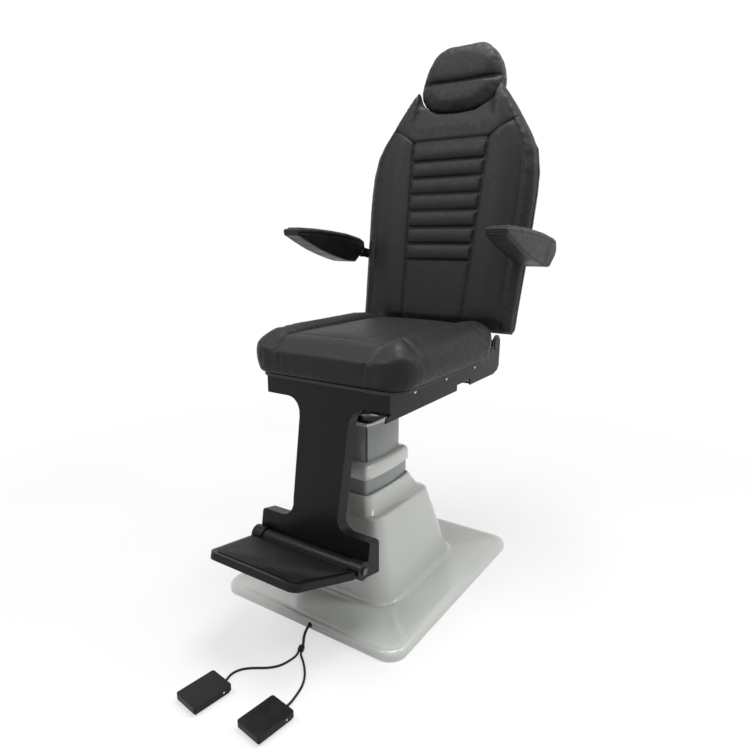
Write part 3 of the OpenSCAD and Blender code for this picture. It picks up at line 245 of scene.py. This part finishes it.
def dimpled(name, colour):
    """A rubber mat moulded with small round pips."""
    tree = Tree(name)
    pips = tree.cells(210)
    low, high = spread(colour, 0.25)
    tree.colour(tree.ramp(tree.noise(45, detail=5), [(0.3, low), (0.7, high)]))
    tree.rough(tree.span(pips, 0.38, 0.62, 0.1, 0.6))
    tree.bump(tree.mix(tree.noise(300), pips, -1.5), 0.8, 0.0009)
    tree.set(Specular_IOR_Level=0.18)
    return tree.material


def brushed(name, colour, rough, stretch=(1, 1, 60)):
    """Turned or ground metal: fine lines along one direction."""
    tree = Tree(name)
    lines = tree.noise(90, detail=4, stretch=stretch)
    low, high = spread(colour, 0.07)
    tree.colour(tree.ramp(lines, [(0.3, low), (0.7, high)]))
    tree.rough(tree.span(lines, rough - 0.07, rough + 0.1))
    tree.bump(lines, 0.2, 0.00006)
    tree.set(Metallic=1.0)
    return tree.material


def plywood(name, dark, light):
    """Stained board: fine streaks along the grain."""
    tree = Tree(name)
    grain = tree.noise(14, detail=6, rough=0.7, stretch=(1, 14, 40))
    tree.colour(tree.ramp(grain, [(0.3, dark), (0.7, light)]))
    tree.rough(tree.span(grain, 0.55, 0.75))
    tree.bump(grain, 0.3, 0.0003)
    return tree.material


SLOTS = {
    "base_gloss": finish("base_gloss", shade(203, 206, 201), 0.26, 160, 0.00003, 0.004, coat=0.9,
                         coat_rough=0.06, cloud=1.5, specular=0.3, swing=0.008),
    "steel_plate": finish("steel_plate", shade(150, 153, 155), 0.4, 500, 0.00006, 0.08),
    "foot_rubber": finish("foot_rubber", shade(36, 36, 36), 0.75, 700, 0.0001, 0.15),
    "column_paint": finish("column_paint", shade(146, 149, 149), 0.36, 420, 0.00006, 0.02,
                           coat=0.1, cloud=4, specular=0.3),
    "motor_paint": finish("motor_paint", shade(52, 53, 55), 0.5, 500, 0.0001, 0.1),
    "screw_steel": brushed("screw_steel", shade(204, 205, 207), 0.24),
    "box_plastic": finish("box_plastic", shade(46, 47, 49), 0.55, 800, 0.0001, 0.1),
    "black_plastic": finish("black_plastic", shade(30, 30, 30), 0.5, 800, 0.0001, 0.12,
                            specular=0.25),
    "cord_rubber": finish("cord_rubber", shade(26, 26, 27), 0.5, 900, 0.00008, 0.15, specular=0.25),
    "switch_plastic": finish("switch_plastic", shade(20, 20, 21), 0.44, 1100, 0.00012, 0.12,
                             specular=0.2),
    "guide_plastic": finish("guide_plastic", shade(228, 227, 218), 0.45, 500, 0.00005, 0.04),
    "bearing_steel": brushed("bearing_steel", shade(196, 198, 200), 0.2, (60, 60, 1)),
    "brass": brushed("brass", shade(206, 168, 92), 0.3, (1, 1, 60)),
    "black_steel": powder_coat("black_steel", shade(14, 14, 15), 0.4),
    "plywood": plywood("plywood", shade(30, 29, 28), shade(46, 44, 42)),
    "leather": leather("leather", shade(29, 30, 31)),
    "shell_plastic": leather("shell_plastic", shade(34, 35, 36), 0.24, 900, 0.4),
    "chrome": finish("chrome", shade(226, 227, 229), 0.1, 900, 0.00002, 0.02, metal=1.0,
                     swing=0.03),
    "arm_plastic": finish("arm_plastic", shade(20, 21, 22), 0.42, 1000, 0.0001, 0.12,
                          specular=0.25),
    "pad_plastic": leather("pad_plastic", shade(34, 35, 36), 0.38, 900, 0.3),
    "mat_rubber": dimpled("mat_rubber", shade(14, 14, 15)),
}
PIN_STEEL = brushed("pin_steel", shade(96, 97, 99), 0.34)

# Nodes whose finish differs from their slot's: dull pins, and a blackened shaft.
SPECIAL = {"foot_pins": PIN_STEEL, "recline_shaft": SLOTS["black_steel"]}


def slot_of(node):
    return NODES[node].material_slots[0].material.name.split(".")[0]


NODE_SLOTS = {name: slot_of(name) for name in NODES}


def dress_nodes():
    """Each carried-over node gets its slot's material, or its own."""
    for name, node in NODES.items():
        for place in node.material_slots:
            place.material = SPECIAL.get(name, SLOTS[NODE_SLOTS[name]])


dress_nodes()

# Cords: the same points as in the part's source, in metres.

MAIN_ROUTE = [
    (0.029, -0.338, 0.011), (0.029, -0.345, 0.011), (0.0292, -0.352, 0.0102),
    (0.0305, -0.36, 0.0078), (0.0335, -0.369, 0.005), (0.038, -0.378, 0.0038),
    (0.044, -0.387, 0.0036), (0.05, -0.395, 0.0037), (0.0555, -0.4025, 0.0043),
    (0.0602, -0.4118, 0.005),
]
LEFT_ROUTE = [
    (0.0646, -0.4298, 0.005), (0.0666, -0.4341, 0.0047), (0.0684, -0.44, 0.004),
    (0.069, -0.448, 0.0032), (0.0684, -0.457, 0.0029), (0.0666, -0.468, 0.0029),
    (0.064, -0.479, 0.0029), (0.0595, -0.49, 0.0029), (0.052, -0.501, 0.0029),
    (0.042, -0.511, 0.0029), (0.03, -0.52, 0.0029), (0.017, -0.529, 0.0029),
    (0.0045, -0.539, 0.0029), (-0.005, -0.55, 0.0029), (-0.0106, -0.562, 0.0029),
    (-0.0118, -0.573, 0.0033), (-0.0096, -0.583, 0.0042), (-0.0066, -0.5914, 0.005),
    (-0.0059, -0.5995, 0.0052), (-0.0069, -0.6073, 0.0052),
]
RIGHT_ROUTE = [
    (0.0711, -0.4267, 0.005), (0.0732, -0.4312, 0.0047), (0.078, -0.437, 0.004),
    (0.084, -0.4416, 0.0033), (0.091, -0.4466, 0.0029), (0.099, -0.453, 0.0029),
    (0.108, -0.461, 0.0029), (0.117, -0.47, 0.0029), (0.126, -0.48, 0.0029),
    (0.134, -0.491, 0.0029), (0.1405, -0.502, 0.0029), (0.1458, -0.514, 0.0029),
    (0.1498, -0.527, 0.0029), (0.1528, -0.54, 0.0029), (0.1554, -0.552, 0.0032),
    (0.1574, -0.562, 0.0042), (0.1583, -0.5715, 0.005), (0.1576, -0.5804, 0.0052),
    (0.1566, -0.5883, 0.0052),
]
MAIN_DIAMETER = 0.007
SWITCH_DIAMETER = 0.0055
CORD_SIDES = 6
CORD_STEPS = 6


def cord_curve(name, route, diameter):
    """One open spline through the route's points, round in section."""
    data = bpy.data.curves.new(name, "CURVE")
    data.dimensions = "3D"
    data.bevel_depth = diameter / 2
    data.bevel_resolution = CORD_SIDES
    data.resolution_u = CORD_STEPS
    data.use_fill_caps = True
    spline = data.splines.new("BEZIER")
    spline.bezier_points.add(len(route) - 1)
    for point, place in zip(spline.bezier_points, route):
        point.co = place
        point.handle_left_type = "AUTO"
        point.handle_right_type = "AUTO"
    piece = bpy.data.objects.new(name, data)
    bpy.context.scene.collection.objects.link(piece)
    data.materials.append(SLOTS["cord_rubber"])
    return piece


# A boot's outline: share of its length from the housing, and radius in millimetres.
BOOT_LENGTH = 0.012
BOOT_RADII = (
    (0, 4.4), (0.06, 4.7), (0.22, 4.55), (0.26, 4.1), (0.36, 4.1), (0.4, 4.4), (0.52, 4.2),
    (0.56, 3.8), (0.66, 3.75), (0.7, 4.0), (0.82, 3.8), (0.86, 3.4), (0.97, 3.3), (1, 3.0),
)
BOOT_SIDES = 28
BOOT_CREASE = 50
MM = 0.001


def make_boot(name, end, towards, swell):
    """A ribbed, tapered strain relief, from a housing's wall back along its cord."""
    axis = (Vector(towards) - Vector(end)).normalized()
    across = axis.cross(Vector((0, 0, 1))).normalized()
    up = across.cross(axis)
    work = bmesh.new()
    rings = []
    for share, radius in BOOT_RADII:
        centre = Vector(end) + axis * BOOT_LENGTH * share
        size = radius * swell * MM
        ring = []
        for k in range(BOOT_SIDES):
            turn = math.tau * k / BOOT_SIDES
            outward = across * math.cos(turn) + up * math.sin(turn)
            ring.append(work.verts.new(centre + outward * size))
        rings.append(ring)
    for low, high in zip(rings, rings[1:]):
        for k in range(BOOT_SIDES):
            beside = (k + 1) % BOOT_SIDES
            work.faces.new((low[k], low[beside], high[beside], high[k]))
    work.faces.new(rings[0][::-1])
    work.faces.new(rings[-1])
    bmesh.ops.recalc_face_normals(work, faces=work.faces)
    mesh = bpy.data.meshes.new(name)
    work.to_mesh(mesh)
    work.free()
    piece = bpy.data.objects.new(name, mesh)
    bpy.context.scene.collection.objects.link(piece)
    mesh.materials.append(SLOTS["cord_rubber"])
    mesh.shade_smooth()
    mesh.set_sharp_from_angle(angle=math.radians(BOOT_CREASE))
    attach(piece, "stand")
    return piece


def lay_cord(name, node, route, diameter):
    piece = cord_curve(name, route, diameter)
    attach(piece, "stand")
    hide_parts(node)


gland_boot = make_boot("gland_boot", MAIN_ROUTE[0], MAIN_ROUTE[1], 1.15)
left_boot = make_boot("left_boot", LEFT_ROUTE[-1], LEFT_ROUTE[-2], 1)
right_boot = make_boot("right_boot", RIGHT_ROUTE[-1], RIGHT_ROUTE[-2], 1)
lay_cord("switch_lead", "cord_main", MAIN_ROUTE, MAIN_DIAMETER)
lay_cord("left_lead", "cord_left", LEFT_ROUTE, SWITCH_DIAMETER)
lay_cord("right_lead", "cord_right", RIGHT_ROUTE, SWITCH_DIAMETER)

# Mesh helpers. Angles are in degrees.

WELD = 0.00002
FLAT = 1.5
EDGE = 38
CREASE = 42
SMOOTH_BELOW = 32
BEVEL_STEPS = 3
FACE_WEIGHT = 100


def new_piece(name, mesh):
    piece = bpy.data.objects.new(name, mesh)
    bpy.context.scene.collection.objects.link(piece)
    return piece


def copy_node(name, node):
    """A piece with a welded copy of a node's mesh."""
    piece = new_piece(name, NODES[node].data.copy())
    work = bmesh.new()
    work.from_mesh(piece.data)
    bmesh.ops.remove_doubles(work, verts=work.verts, dist=WELD)
    work.to_mesh(piece.data)
    work.free()
    return piece


def apply_all(piece):
    """The piece's modifiers become its mesh."""
    graph = bpy.context.evaluated_depsgraph_get()
    mesh = bpy.data.meshes.new_from_object(piece.evaluated_get(graph))
    piece.modifiers.clear()
    old = piece.data
    piece.data = mesh
    bpy.data.meshes.remove(old)


def dress(piece, node, body):
    """The material of the node's slot and the node's body for the piece, with the node that it
    stands for hidden.
    """
    slot = NODE_SLOTS[node]
    piece.data.materials.clear()
    piece.data.materials.append(SLOTS[slot])
    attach(piece, body)
    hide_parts(node)


def body_of(node):
    return NODES[node].parent.name.split(":")[1]


def smooth_shade(piece, angle):
    piece.data.shade_smooth()
    piece.data.set_sharp_from_angle(angle=math.radians(angle))


def smoothed(name, node, angle=SMOOTH_BELOW):
    """A node's own shape, shaded as the curved surface that its facets stand for."""
    piece = copy_node(name, node)
    smooth_shade(piece, angle)
    dress(piece, node, body_of(node))


def rounded(name, node, width):
    """A node's own shape with its hard edges rounded."""
    piece = copy_node(name, node)
    work = bmesh.new()
    work.from_mesh(piece.data)
    bmesh.ops.dissolve_limit(work, angle_limit=math.radians(FLAT), verts=work.verts,
                             edges=work.edges)
    work.to_mesh(piece.data)
    work.free()
    bevel = piece.modifiers.new("bevel", "BEVEL")
    bevel.width = width
    bevel.segments = BEVEL_STEPS
    bevel.limit_method = "ANGLE"
    bevel.angle_limit = math.radians(EDGE)
    bevel.use_clamp_overlap = True
    apply_all(piece)
    smooth_shade(piece, CREASE)
    weigh = piece.modifiers.new("weigh", "WEIGHTED_NORMAL")
    weigh.mode = "FACE_AREA"
    weigh.weight = FACE_WEIGHT
    weigh.keep_sharp = True
    apply_all(piece)
    dress(piece, node, body_of(node))


def points_of(mesh):
    co = np.empty(len(mesh.vertices) * 3)
    mesh.vertices.foreach_get("co", co)
    return co.reshape(-1, 3)


def normals_of(mesh):
    no = np.empty(len(mesh.vertices) * 3)
    mesh.vertex_normals.foreach_get("vector", no)
    return no.reshape(-1, 3)


def put_points(mesh, points):
    mesh.vertices.foreach_set("co", points.ravel())
    mesh.update()


def remesh(piece, voxel):
    modifier = piece.modifiers.new("remesh", "REMESH")
    modifier.mode = "VOXEL"
    modifier.voxel_size = voxel
    apply_all(piece)


def relax(piece, times):
    modifier = piece.modifiers.new("relax", "SMOOTH")
    modifier.iterations = times
    modifier.factor = 0.5
    apply_all(piece)


def subdivide(piece):
    modifier = piece.modifiers.new("finer", "SUBSURF")
    modifier.levels = 1
    modifier.render_levels = 1
    apply_all(piece)


PUFF_FRAMES = 20
SETTLE = 8
CLOTH = {
    "quality": 4,
    "mass": 0.3,
    "tension_stiffness": 12,
    "compression_stiffness": 12,
    "shear_stiffness": 4,
    "bending_stiffness": 1.5,
    "use_pressure": True,
    "uniform_pressure_force": 4,
}


def puff(piece, cap, held):
    """Cloth blown up from inside, with the points that held() names kept still."""
    scene = bpy.context.scene
    start = points_of(piece.data)
    group = piece.vertex_groups.new(name="held")
    group.add([int(i) for i in np.flatnonzero(held(start))], 1.0, "REPLACE")
    cloth = piece.modifiers.new("cloth", "CLOTH")
    for setting, value in CLOTH.items():
        setattr(cloth.settings, setting, value)
    cloth.settings.effector_weights.gravity = 0
    cloth.settings.vertex_group_mass = "held"
    cloth.collision_settings.use_collision = False
    cloth.point_cache.frame_start = 1
    cloth.point_cache.frame_end = PUFF_FRAMES
    for number in range(1, PUFF_FRAMES + 1):
        scene.frame_set(number)
    apply_all(piece)
    scene.frame_set(1)
    moved = points_of(piece.data) - start
    far = np.linalg.norm(moved, axis=1, keepdims=True)
    put_points(piece.data, start + moved * np.minimum(1, cap / np.maximum(far, 1e-9)))
    piece.vertex_groups.clear()


def soft_copy(name, node, shrink, voxel, cap, held, smooth=6):
    """A cushion from its CAD form: drawn in a little, meshed evenly, blown up and made finer."""
    piece = copy_node(name, node)
    put_points(piece.data, points_of(piece.data) - normals_of(piece.data) * shrink)
    remesh(piece, voxel)
    relax(piece, smooth)
    puff(piece, cap, held)
    relax(piece, SETTLE)
    subdivide(piece)
    return piece


def near(value, at, width):
    """A smooth bump of height one at a place."""
    return np.exp(-(((value - at) / width) ** 2))


def step(value, low, high):
    """A smooth rise from zero to one."""
    share = np.clip((value - low) / (high - low), 0, 1)
    return share * share * (3 - 2 * share)


def dome(share):
    """Zero at both ends of a span and one in its middle."""
    return 4 * share * (1 - share)


def carve(piece, depth):
    """Points move inwards along their normals by depth(points, normals)."""
    points = points_of(piece.data)
    normals = normals_of(piece.data)
    put_points(piece.data, points - normals * depth(points, normals)[:, None])
    piece.data.shade_smooth()


# The back's own space: x across, n into the back, s up its slope.

BACK_FOOT = (0.31, 0.713)
BACK_SLOPE = math.radians(10.8)


def back_n(points):
    dy = points[:, 1] - BACK_FOOT[0]
    dz = points[:, 2] - BACK_FOOT[1]
    return dy * math.cos(BACK_SLOPE) - dz * math.sin(BACK_SLOPE)


def back_s(points):
    dy = points[:, 1] - BACK_FOOT[0]
    dz = points[:, 2] - BACK_FOOT[1]
    return dy * math.sin(BACK_SLOPE) + dz * math.cos(BACK_SLOPE)


def facing_front(normals):
    front = -(normals[:, 1] * math.cos(BACK_SLOPE) - normals[:, 2] * math.sin(BACK_SLOPE))
    return step(front, 0.1, 0.6)


# Back cushion: quilted ribs between two long seams, a yoke above and a bolster on each side.
# Depths and heights are in metres, measured along the surface's normal.

BACK_LOW = -0.027
BACK_LENGTH = 0.763
SEAM_LOW = 0.105
SEAM_HIGH = 0.129
YOKE_S = 0.563
YOKE_RISE = 0.062
YOKE_END = 0.228
BACK_HALF = 0.295
CHANNEL_TOP = 0.501
CHANNEL_STEP = 0.052
CHANNEL_COUNT = 7
VALLEY = 0.84
HEAD_CENTRE = 0.763
NOTCH_SWELL = 0.0038
BACK_SEAM_DEPTH = 0.0042
BACK_SEAM_WIDTH = 0.0035
GROOVE_DEPTH = 0.0048
GROOVE_WIDTH = 0.0038
RIB_HEIGHT = 0.0042
BOLSTER_HEIGHT = 0.004
VALLEY_DEPTH = 0.003
VALLEY_WIDTH = 0.008


def seam_x(s):
    return SEAM_LOW + (SEAM_HIGH - SEAM_LOW) * np.minimum(1, (s - BACK_LOW) / (YOKE_S - BACK_LOW))


def yoke_s(x):
    return YOKE_S + YOKE_RISE * np.maximum(0, (np.abs(x) - SEAM_HIGH) / (YOKE_END - SEAM_HIGH))


# The back's outline: shares of its length, and half widths there as shares of the widest.
OUTLINE_T = (
    0, 0.008, 0.03, 0.08, 0.154, 0.282, 0.405, 0.512, 0.617,
    0.68, 0.731, 0.79, 0.847, 0.902, 0.945, 0.978, 1,
)
OUTLINE_X = (
    0.905, 0.925, 0.934, 0.938, 0.948, 0.968, 0.984, 1, 1,
    0.986, 0.954, 0.882, 0.785, 0.695, 0.61, 0.545, 0.50,
)


def back_reach(s):
    return BACK_HALF * np.interp((s - BACK_LOW) / BACK_LENGTH, OUTLINE_T, OUTLINE_X)


def facing_head(points, normals):
    """One on the walls of the notch that the headrest sits in."""
    side = -points[:, 0]
    rise = HEAD_CENTRE - back_s(points)
    far = np.maximum(np.hypot(side, rise), 1e-6)
    slope = normals[:, 1] * math.sin(BACK_SLOPE) + normals[:, 2] * math.cos(BACK_SLOPE)
    towards = (normals[:, 0] * side + slope * rise) / far
    return step(towards, 0.2, 0.6) * step(back_s(points), 0.58, 0.62) * (1 - step(far, 0.19, 0.22))


def back_depth(points, normals):
    x = np.abs(points[:, 0])
    s = back_s(points)
    seam = seam_x(s)
    below = 1 - step(s, yoke_s(x) - 0.002, yoke_s(x) + 0.004)
    lowest = CHANNEL_TOP - (CHANNEL_COUNT - 1) * CHANNEL_STEP
    inside = 1 - step(x, seam - 0.008, seam - 0.001)
    crown = dome(((s - lowest) / CHANNEL_STEP) % 1)
    quilted = step(s, lowest - 0.012, lowest - 0.004)
    valley = VALLEY * back_reach(s)
    lines = [CHANNEL_TOP - k * CHANNEL_STEP for k in range(CHANNEL_COUNT)]
    grooves = sum(near(s, line, GROOVE_WIDTH) for line in lines)
    bolster = dome(np.clip((x - seam) / (valley - seam), 0, 1))
    depth = BACK_SEAM_DEPTH * near(x, seam, BACK_SEAM_WIDTH) * below
    depth += BACK_SEAM_DEPTH * near(s, yoke_s(x), BACK_SEAM_WIDTH)
    depth += GROOVE_DEPTH * grooves * inside * below
    depth -= RIB_HEIGHT * crown * inside * below * quilted
    depth -= BOLSTER_HEIGHT * bolster * below * step(s, 0.0, 0.05)
    depth += VALLEY_DEPTH * near(x, valley, VALLEY_WIDTH) * (1 - step(s, 0.62, 0.69))
    depth *= 1 - 0.8 * step(x, valley, valley + 0.01) * step(s, YOKE_S, YOKE_S + 0.03)
    return depth * facing_front(normals) - NOTCH_SWELL * facing_head(points, normals)


def make_back_cushion():
    piece = soft_copy("back_leather", "back_cushion", shrink=0.0022, voxel=0.005, cap=0.006,
                      held=lambda p: back_n(p) > 0.036)
    carve(piece, back_depth)
    dress(piece, "back_cushion", "backrest")


# Headrest: one rounded pad with a sewn fold across it.

HEAD_LOW = 0.655
HEAD_LENGTH = 0.216
HEAD_FOLD = 0.751
HEAD_HALF = 0.139
HEAD_SWELL = 0.003
FOLD_DEPTH = 0.0075
FOLD_WIDTH = 0.0045
DIP_DEPTH = 0.003
DIP_WIDTH = 0.012
LOWER_HEIGHT = 0.006
UPPER_HEIGHT = 0.004


def head_depth(points, normals):
    x = points[:, 0]
    s = back_s(points)
    fold = HEAD_FOLD + 0.006 * (x / HEAD_HALF) ** 2
    reach = 1 - step(np.abs(x), HEAD_HALF * 0.62, HEAD_HALF * 0.98)
    lower = np.clip((fold - s) / (fold - HEAD_LOW), 0, 1)
    upper = np.clip((s - fold) / (HEAD_LOW + HEAD_LENGTH - fold), 0, 1)
    crease = FOLD_DEPTH * near(s, fold, FOLD_WIDTH) + DIP_DEPTH * near(s, fold, DIP_WIDTH)
    depth = crease * (0.25 + 0.75 * reach)
    depth -= LOWER_HEIGHT * dome(lower) * reach
    depth -= UPPER_HEIGHT * dome(upper) * reach
    front = facing_front(normals)
    low = 1 - step(s, HEAD_CENTRE, HEAD_CENTRE + 0.04)
    flank = (1 - front) * low * step(0.05 - back_n(points), 0, 0.02)
    return depth * front - HEAD_SWELL * flank


def make_headrest():
    piece = soft_copy("headrest_leather", "headrest_cushion", shrink=0.0012, voxel=0.004,
                      cap=0.005, held=lambda p: back_n(p) > 0.052, smooth=3)
    carve(piece, head_depth)
    dress(piece, "headrest_cushion", "headrest")


# Seat cushion: a middle panel between two seams, a crease behind the rolled front, and piped sides.

SEAT_SEAM = 0.150
SEAT_CREASE = -0.171
SEAT_HALF = 0.245
SEAT_LOW = 0.62
PIPING_Y = (-0.255, -0.2, -0.15, 0, 0.2)
PIPING_Z = (0.696, 0.703, 0.707, 0.709, 0.709)
PIPING_DEPTH = 0.0016
PIPING_WIDTH = 0.0026
SEAT_SEAM_WIDTH = 0.0032
TOP_SEAM_DEPTH = 0.0032
FRONT_SEAM_DEPTH = 0.0026
SEAT_CREASE_DEPTH = 0.0022
SEAT_CREASE_WIDTH = 0.004
SIDE_HEIGHT = 0.002
MIDDLE_HEIGHT = 0.003


def seat_depth(points, normals):
    x = np.abs(points[:, 0])
    y = points[:, 1]
    up = step(normals[:, 2], 0.15, 0.6)
    front = step(-normals[:, 1], 0.35, 0.75) * (1 - up)
    side = 1 - up
    lean = SEAT_SEAM - 0.0145 - 0.14 * (0.698 - points[:, 2])
    seam = near(x, np.where(up > 0.5, SEAT_SEAM, lean), SEAT_SEAM_WIDTH)
    middle = 1 - step(x, SEAT_SEAM - 0.006, SEAT_SEAM - 0.001)
    across = np.clip((x - SEAT_SEAM) / (SEAT_HALF - SEAT_SEAM), 0, 1)
    behind = step(y, SEAT_CREASE, SEAT_CREASE + 0.05)
    piping = near(points[:, 2], np.interp(y, PIPING_Y, PIPING_Z), PIPING_WIDTH)
    depth = TOP_SEAM_DEPTH * seam * up
    depth += FRONT_SEAM_DEPTH * seam * front * step(points[:, 2], SEAT_LOW + 0.02, SEAT_LOW + 0.04)
    depth += SEAT_CREASE_DEPTH * near(y, SEAT_CREASE, SEAT_CREASE_WIDTH) * middle * up
    depth -= SIDE_HEIGHT * dome(across) * up
    depth -= MIDDLE_HEIGHT * (1 - (x / SEAT_SEAM) ** 2) * middle * up * behind
    depth += PIPING_DEPTH * piping * side * step(x, 0.15, 0.17)
    return depth


def make_seat_cushion():
    piece = soft_copy("seat_leather", "seat_cushion", shrink=0.0025, voxel=0.005, cap=0.007,
                      held=lambda p: p[:, 2] < SEAT_LOW + 0.007)
    carve(piece, seat_depth)
    dress(piece, "seat_cushion", "seat")


make_back_cushion()
make_headrest()
make_seat_cushion()


# Shells of the back and of the headrest: the back's own shape smooth-shaded, the headrest's with
# soft edges.

SHELL_CREASE = 40


def make_headrest_shell():
    piece = copy_node("headrest_shell_moulded", "headrest_shell")
    remesh(piece, voxel=0.003)
    relax(piece, times=4)
    piece.data.shade_smooth()
    dress(piece, "headrest_shell", "headrest")


smoothed("back_shell_moulded", "back_shell", SHELL_CREASE)
make_headrest_shell()

# Armrests: a parting line along each side, and a short cap at the front end.

ARM_FRONT = 0.029
ARM_LENGTH = 0.347
ARM_TOP = 0.996
ARM_T = (0, 0.05, 0.25, 0.49, 0.73, 0.85, 1)
ARM_DROP = (0.0022, 0, 0.0022, 0.0081, 0.017, 0.0248, 0.034)
ARM_PARTING = 0.014
ARM_PARTING_DEPTH = 0.0018
ARM_CAP = 0.105
ARM_CAP_DEPTH = 0.0016
ARM_LINE_WIDTH = 0.0018


def arm_depth(points, normals):
    top = ARM_TOP - np.interp((points[:, 1] - ARM_FRONT) / ARM_LENGTH, ARM_T, ARM_DROP)
    upright = 1 - step(np.abs(normals[:, 2]), 0.5, 0.9)
    above = step(points[:, 2], top - ARM_PARTING - 0.001, top - ARM_PARTING + 0.001)
    line = near(points[:, 2], top - ARM_PARTING, ARM_LINE_WIDTH) * upright
    cap = near(points[:, 1], ARM_CAP, ARM_LINE_WIDTH) * above
    return ARM_PARTING_DEPTH * line + ARM_CAP_DEPTH * cap


def make_armrest(side):
    piece = copy_node(f"armrest_{side}_moulded", f"armrest_{side}")
    remesh(piece, voxel=0.0022)
    relax(piece, times=3)
    carve(piece, arm_depth)
    dress(piece, f"armrest_{side}", f"arm_{side}")


make_armrest("left")
make_armrest("right")

# Hard pieces: rounded edges, by radius, and smooth shading on the lofted covers.

ROUNDED = {
    "leg_plate": 0.003,
    "seat_frame": 0.0012,
    "foot_plate": 0.0022,
    "turntable": 0.0012,
    "head_plate": 0.0012,
    "back_frame": 0.001,
    "pedal_left": 0.0016,
    "pedal_right": 0.0016,
    "switch_case_left": 0.0016,
    "switch_case_right": 0.0016,
    "foot_mat": 0.0005,
    "headrest_bracket": 0.001,
    "cord_splitter": 0.0012,
    "cord_gland": 0.0006,
}
SMOOTHED = (
    "base_cover", "pedestal_cover", "column_outer", "column_mid", "column_inner",
    "wiper_ring", "column_cap", "swivel_ring", "arm_pad_left", "arm_pad_right",
)


def make_hard_pieces():
    for node, width in ROUNDED.items():
        rounded(node + "_rounded", node, width)
    for node in SMOOTHED:
        smoothed(node + "_smooth", node)


make_hard_pieces()


# Floor, world and lamps. The floor shades from FLOOR_WHITE under the chair to plain white.

FLOOR_FADE = (0.9, 2.0)
FLOOR_WHITE = 0.6
FLOOR_RADIUS = 25
FLOOR_SIDES = 64
WORLD_LIGHT = 0.34
LAMPS = (
    ("key", (-1.2, -1.6, 3.0), (0, 0, 0.8), (1.8, 1.4), 38),
    ("right", (2.2, 1.4, 2.6), (0.1, 0.1, 0.7), (0.8, 1.6), 30),
    ("top", (0.3, 0.3, 3.4), (0, 0.1, 0.6), (1.4, 1.4), 66),
)


def camera_rays(nodes, links):
    """One for rays from the camera and for those seen in gloss or glass."""
    path = nodes.new("ShaderNodeLightPath")
    first = nodes.new("ShaderNodeMath")
    first.operation = "MAXIMUM"
    second = nodes.new("ShaderNodeMath")
    second.operation = "MAXIMUM"
    links.new(path.outputs["Is Camera Ray"], first.inputs[0])
    links.new(path.outputs["Is Glossy Ray"], first.inputs[1])
    links.new(first.outputs[0], second.inputs[0])
    links.new(path.outputs["Is Transmission Ray"], second.inputs[1])
    return second.outputs[0]


def floor_material():
    tree = Tree("floor")
    tree.set(Base_Color=(0.9, 0.9, 0.9, 1), Roughness=0.9, Specular_IOR_Level=0.1)
    white = tree.nodes.new("ShaderNodeEmission")
    white.inputs["Color"].default_value = WHITE
    white.inputs["Strength"].default_value = 1
    length = tree.nodes.new("ShaderNodeVectorMath")
    length.operation = "LENGTH"
    tree.links.new(tree.place, length.inputs[0])
    fade = tree.span(length.outputs["Value"], FLOOR_WHITE, 1.0, *FLOOR_FADE)
    share = tree.nodes.new("ShaderNodeMath")
    share.operation = "MULTIPLY"
    tree.links.new(fade, share.inputs[0])
    tree.links.new(camera_rays(tree.nodes, tree.links), share.inputs[1])
    mixed = tree.nodes.new("ShaderNodeMixShader")
    tree.links.new(share.outputs[0], mixed.inputs[0])
    tree.links.new(tree.shader.outputs[0], mixed.inputs[1])
    tree.links.new(white.outputs[0], mixed.inputs[2])
    tree.links.new(mixed.outputs[0], tree.nodes["Material Output"].inputs["Surface"])
    return tree.material


def make_floor():
    work = bmesh.new()
    bmesh.ops.create_circle(work, cap_ends=True, radius=FLOOR_RADIUS, segments=FLOOR_SIDES)
    mesh = bpy.data.meshes.new("floor")
    work.to_mesh(mesh)
    work.free()
    floor = new_piece("floor", mesh)
    floor.location = (0, 0, cad_box[0][2])
    floor.data.materials.append(floor_material())
    floor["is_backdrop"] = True


def make_world():
    world = bpy.data.worlds.new("world")
    bpy.context.scene.world = world
    world.use_nodes = True
    nodes = world.node_tree.nodes
    links = world.node_tree.links
    plain = nodes["Background"]
    plain.inputs["Color"].default_value = WHITE
    plain.inputs["Strength"].default_value = WORLD_LIGHT
    white = nodes.new("ShaderNodeBackground")
    white.inputs["Color"].default_value = WHITE
    white.inputs["Strength"].default_value = 1
    mixed = nodes.new("ShaderNodeMixShader")
    links.new(camera_rays(nodes, links), mixed.inputs[0])
    links.new(plain.outputs[0], mixed.inputs[1])
    links.new(white.outputs[0], mixed.inputs[2])
    links.new(mixed.outputs[0], nodes["World Output"].inputs["Surface"])


def lamp(name, place, aim, size, power):
    data = bpy.data.lights.new(name, "AREA")
    data.shape = "RECTANGLE"
    data.size, data.size_y = size
    data.energy = power
    piece = bpy.data.objects.new(name, data)
    piece.location = place
    piece.rotation_euler = (Vector(aim) - Vector(place)).to_track_quat("-Z", "Y").to_euler()
    bpy.context.scene.collection.objects.link(piece)


make_floor()
make_world()
for settings in LAMPS:
    lamp(*settings)

bpy.context.scene.view_settings.view_transform = "Standard"


def write_sizes(after):
    def plain(corners):
        return [[float(v) for v in corner] for corner in corners]


write_sizes(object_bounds())
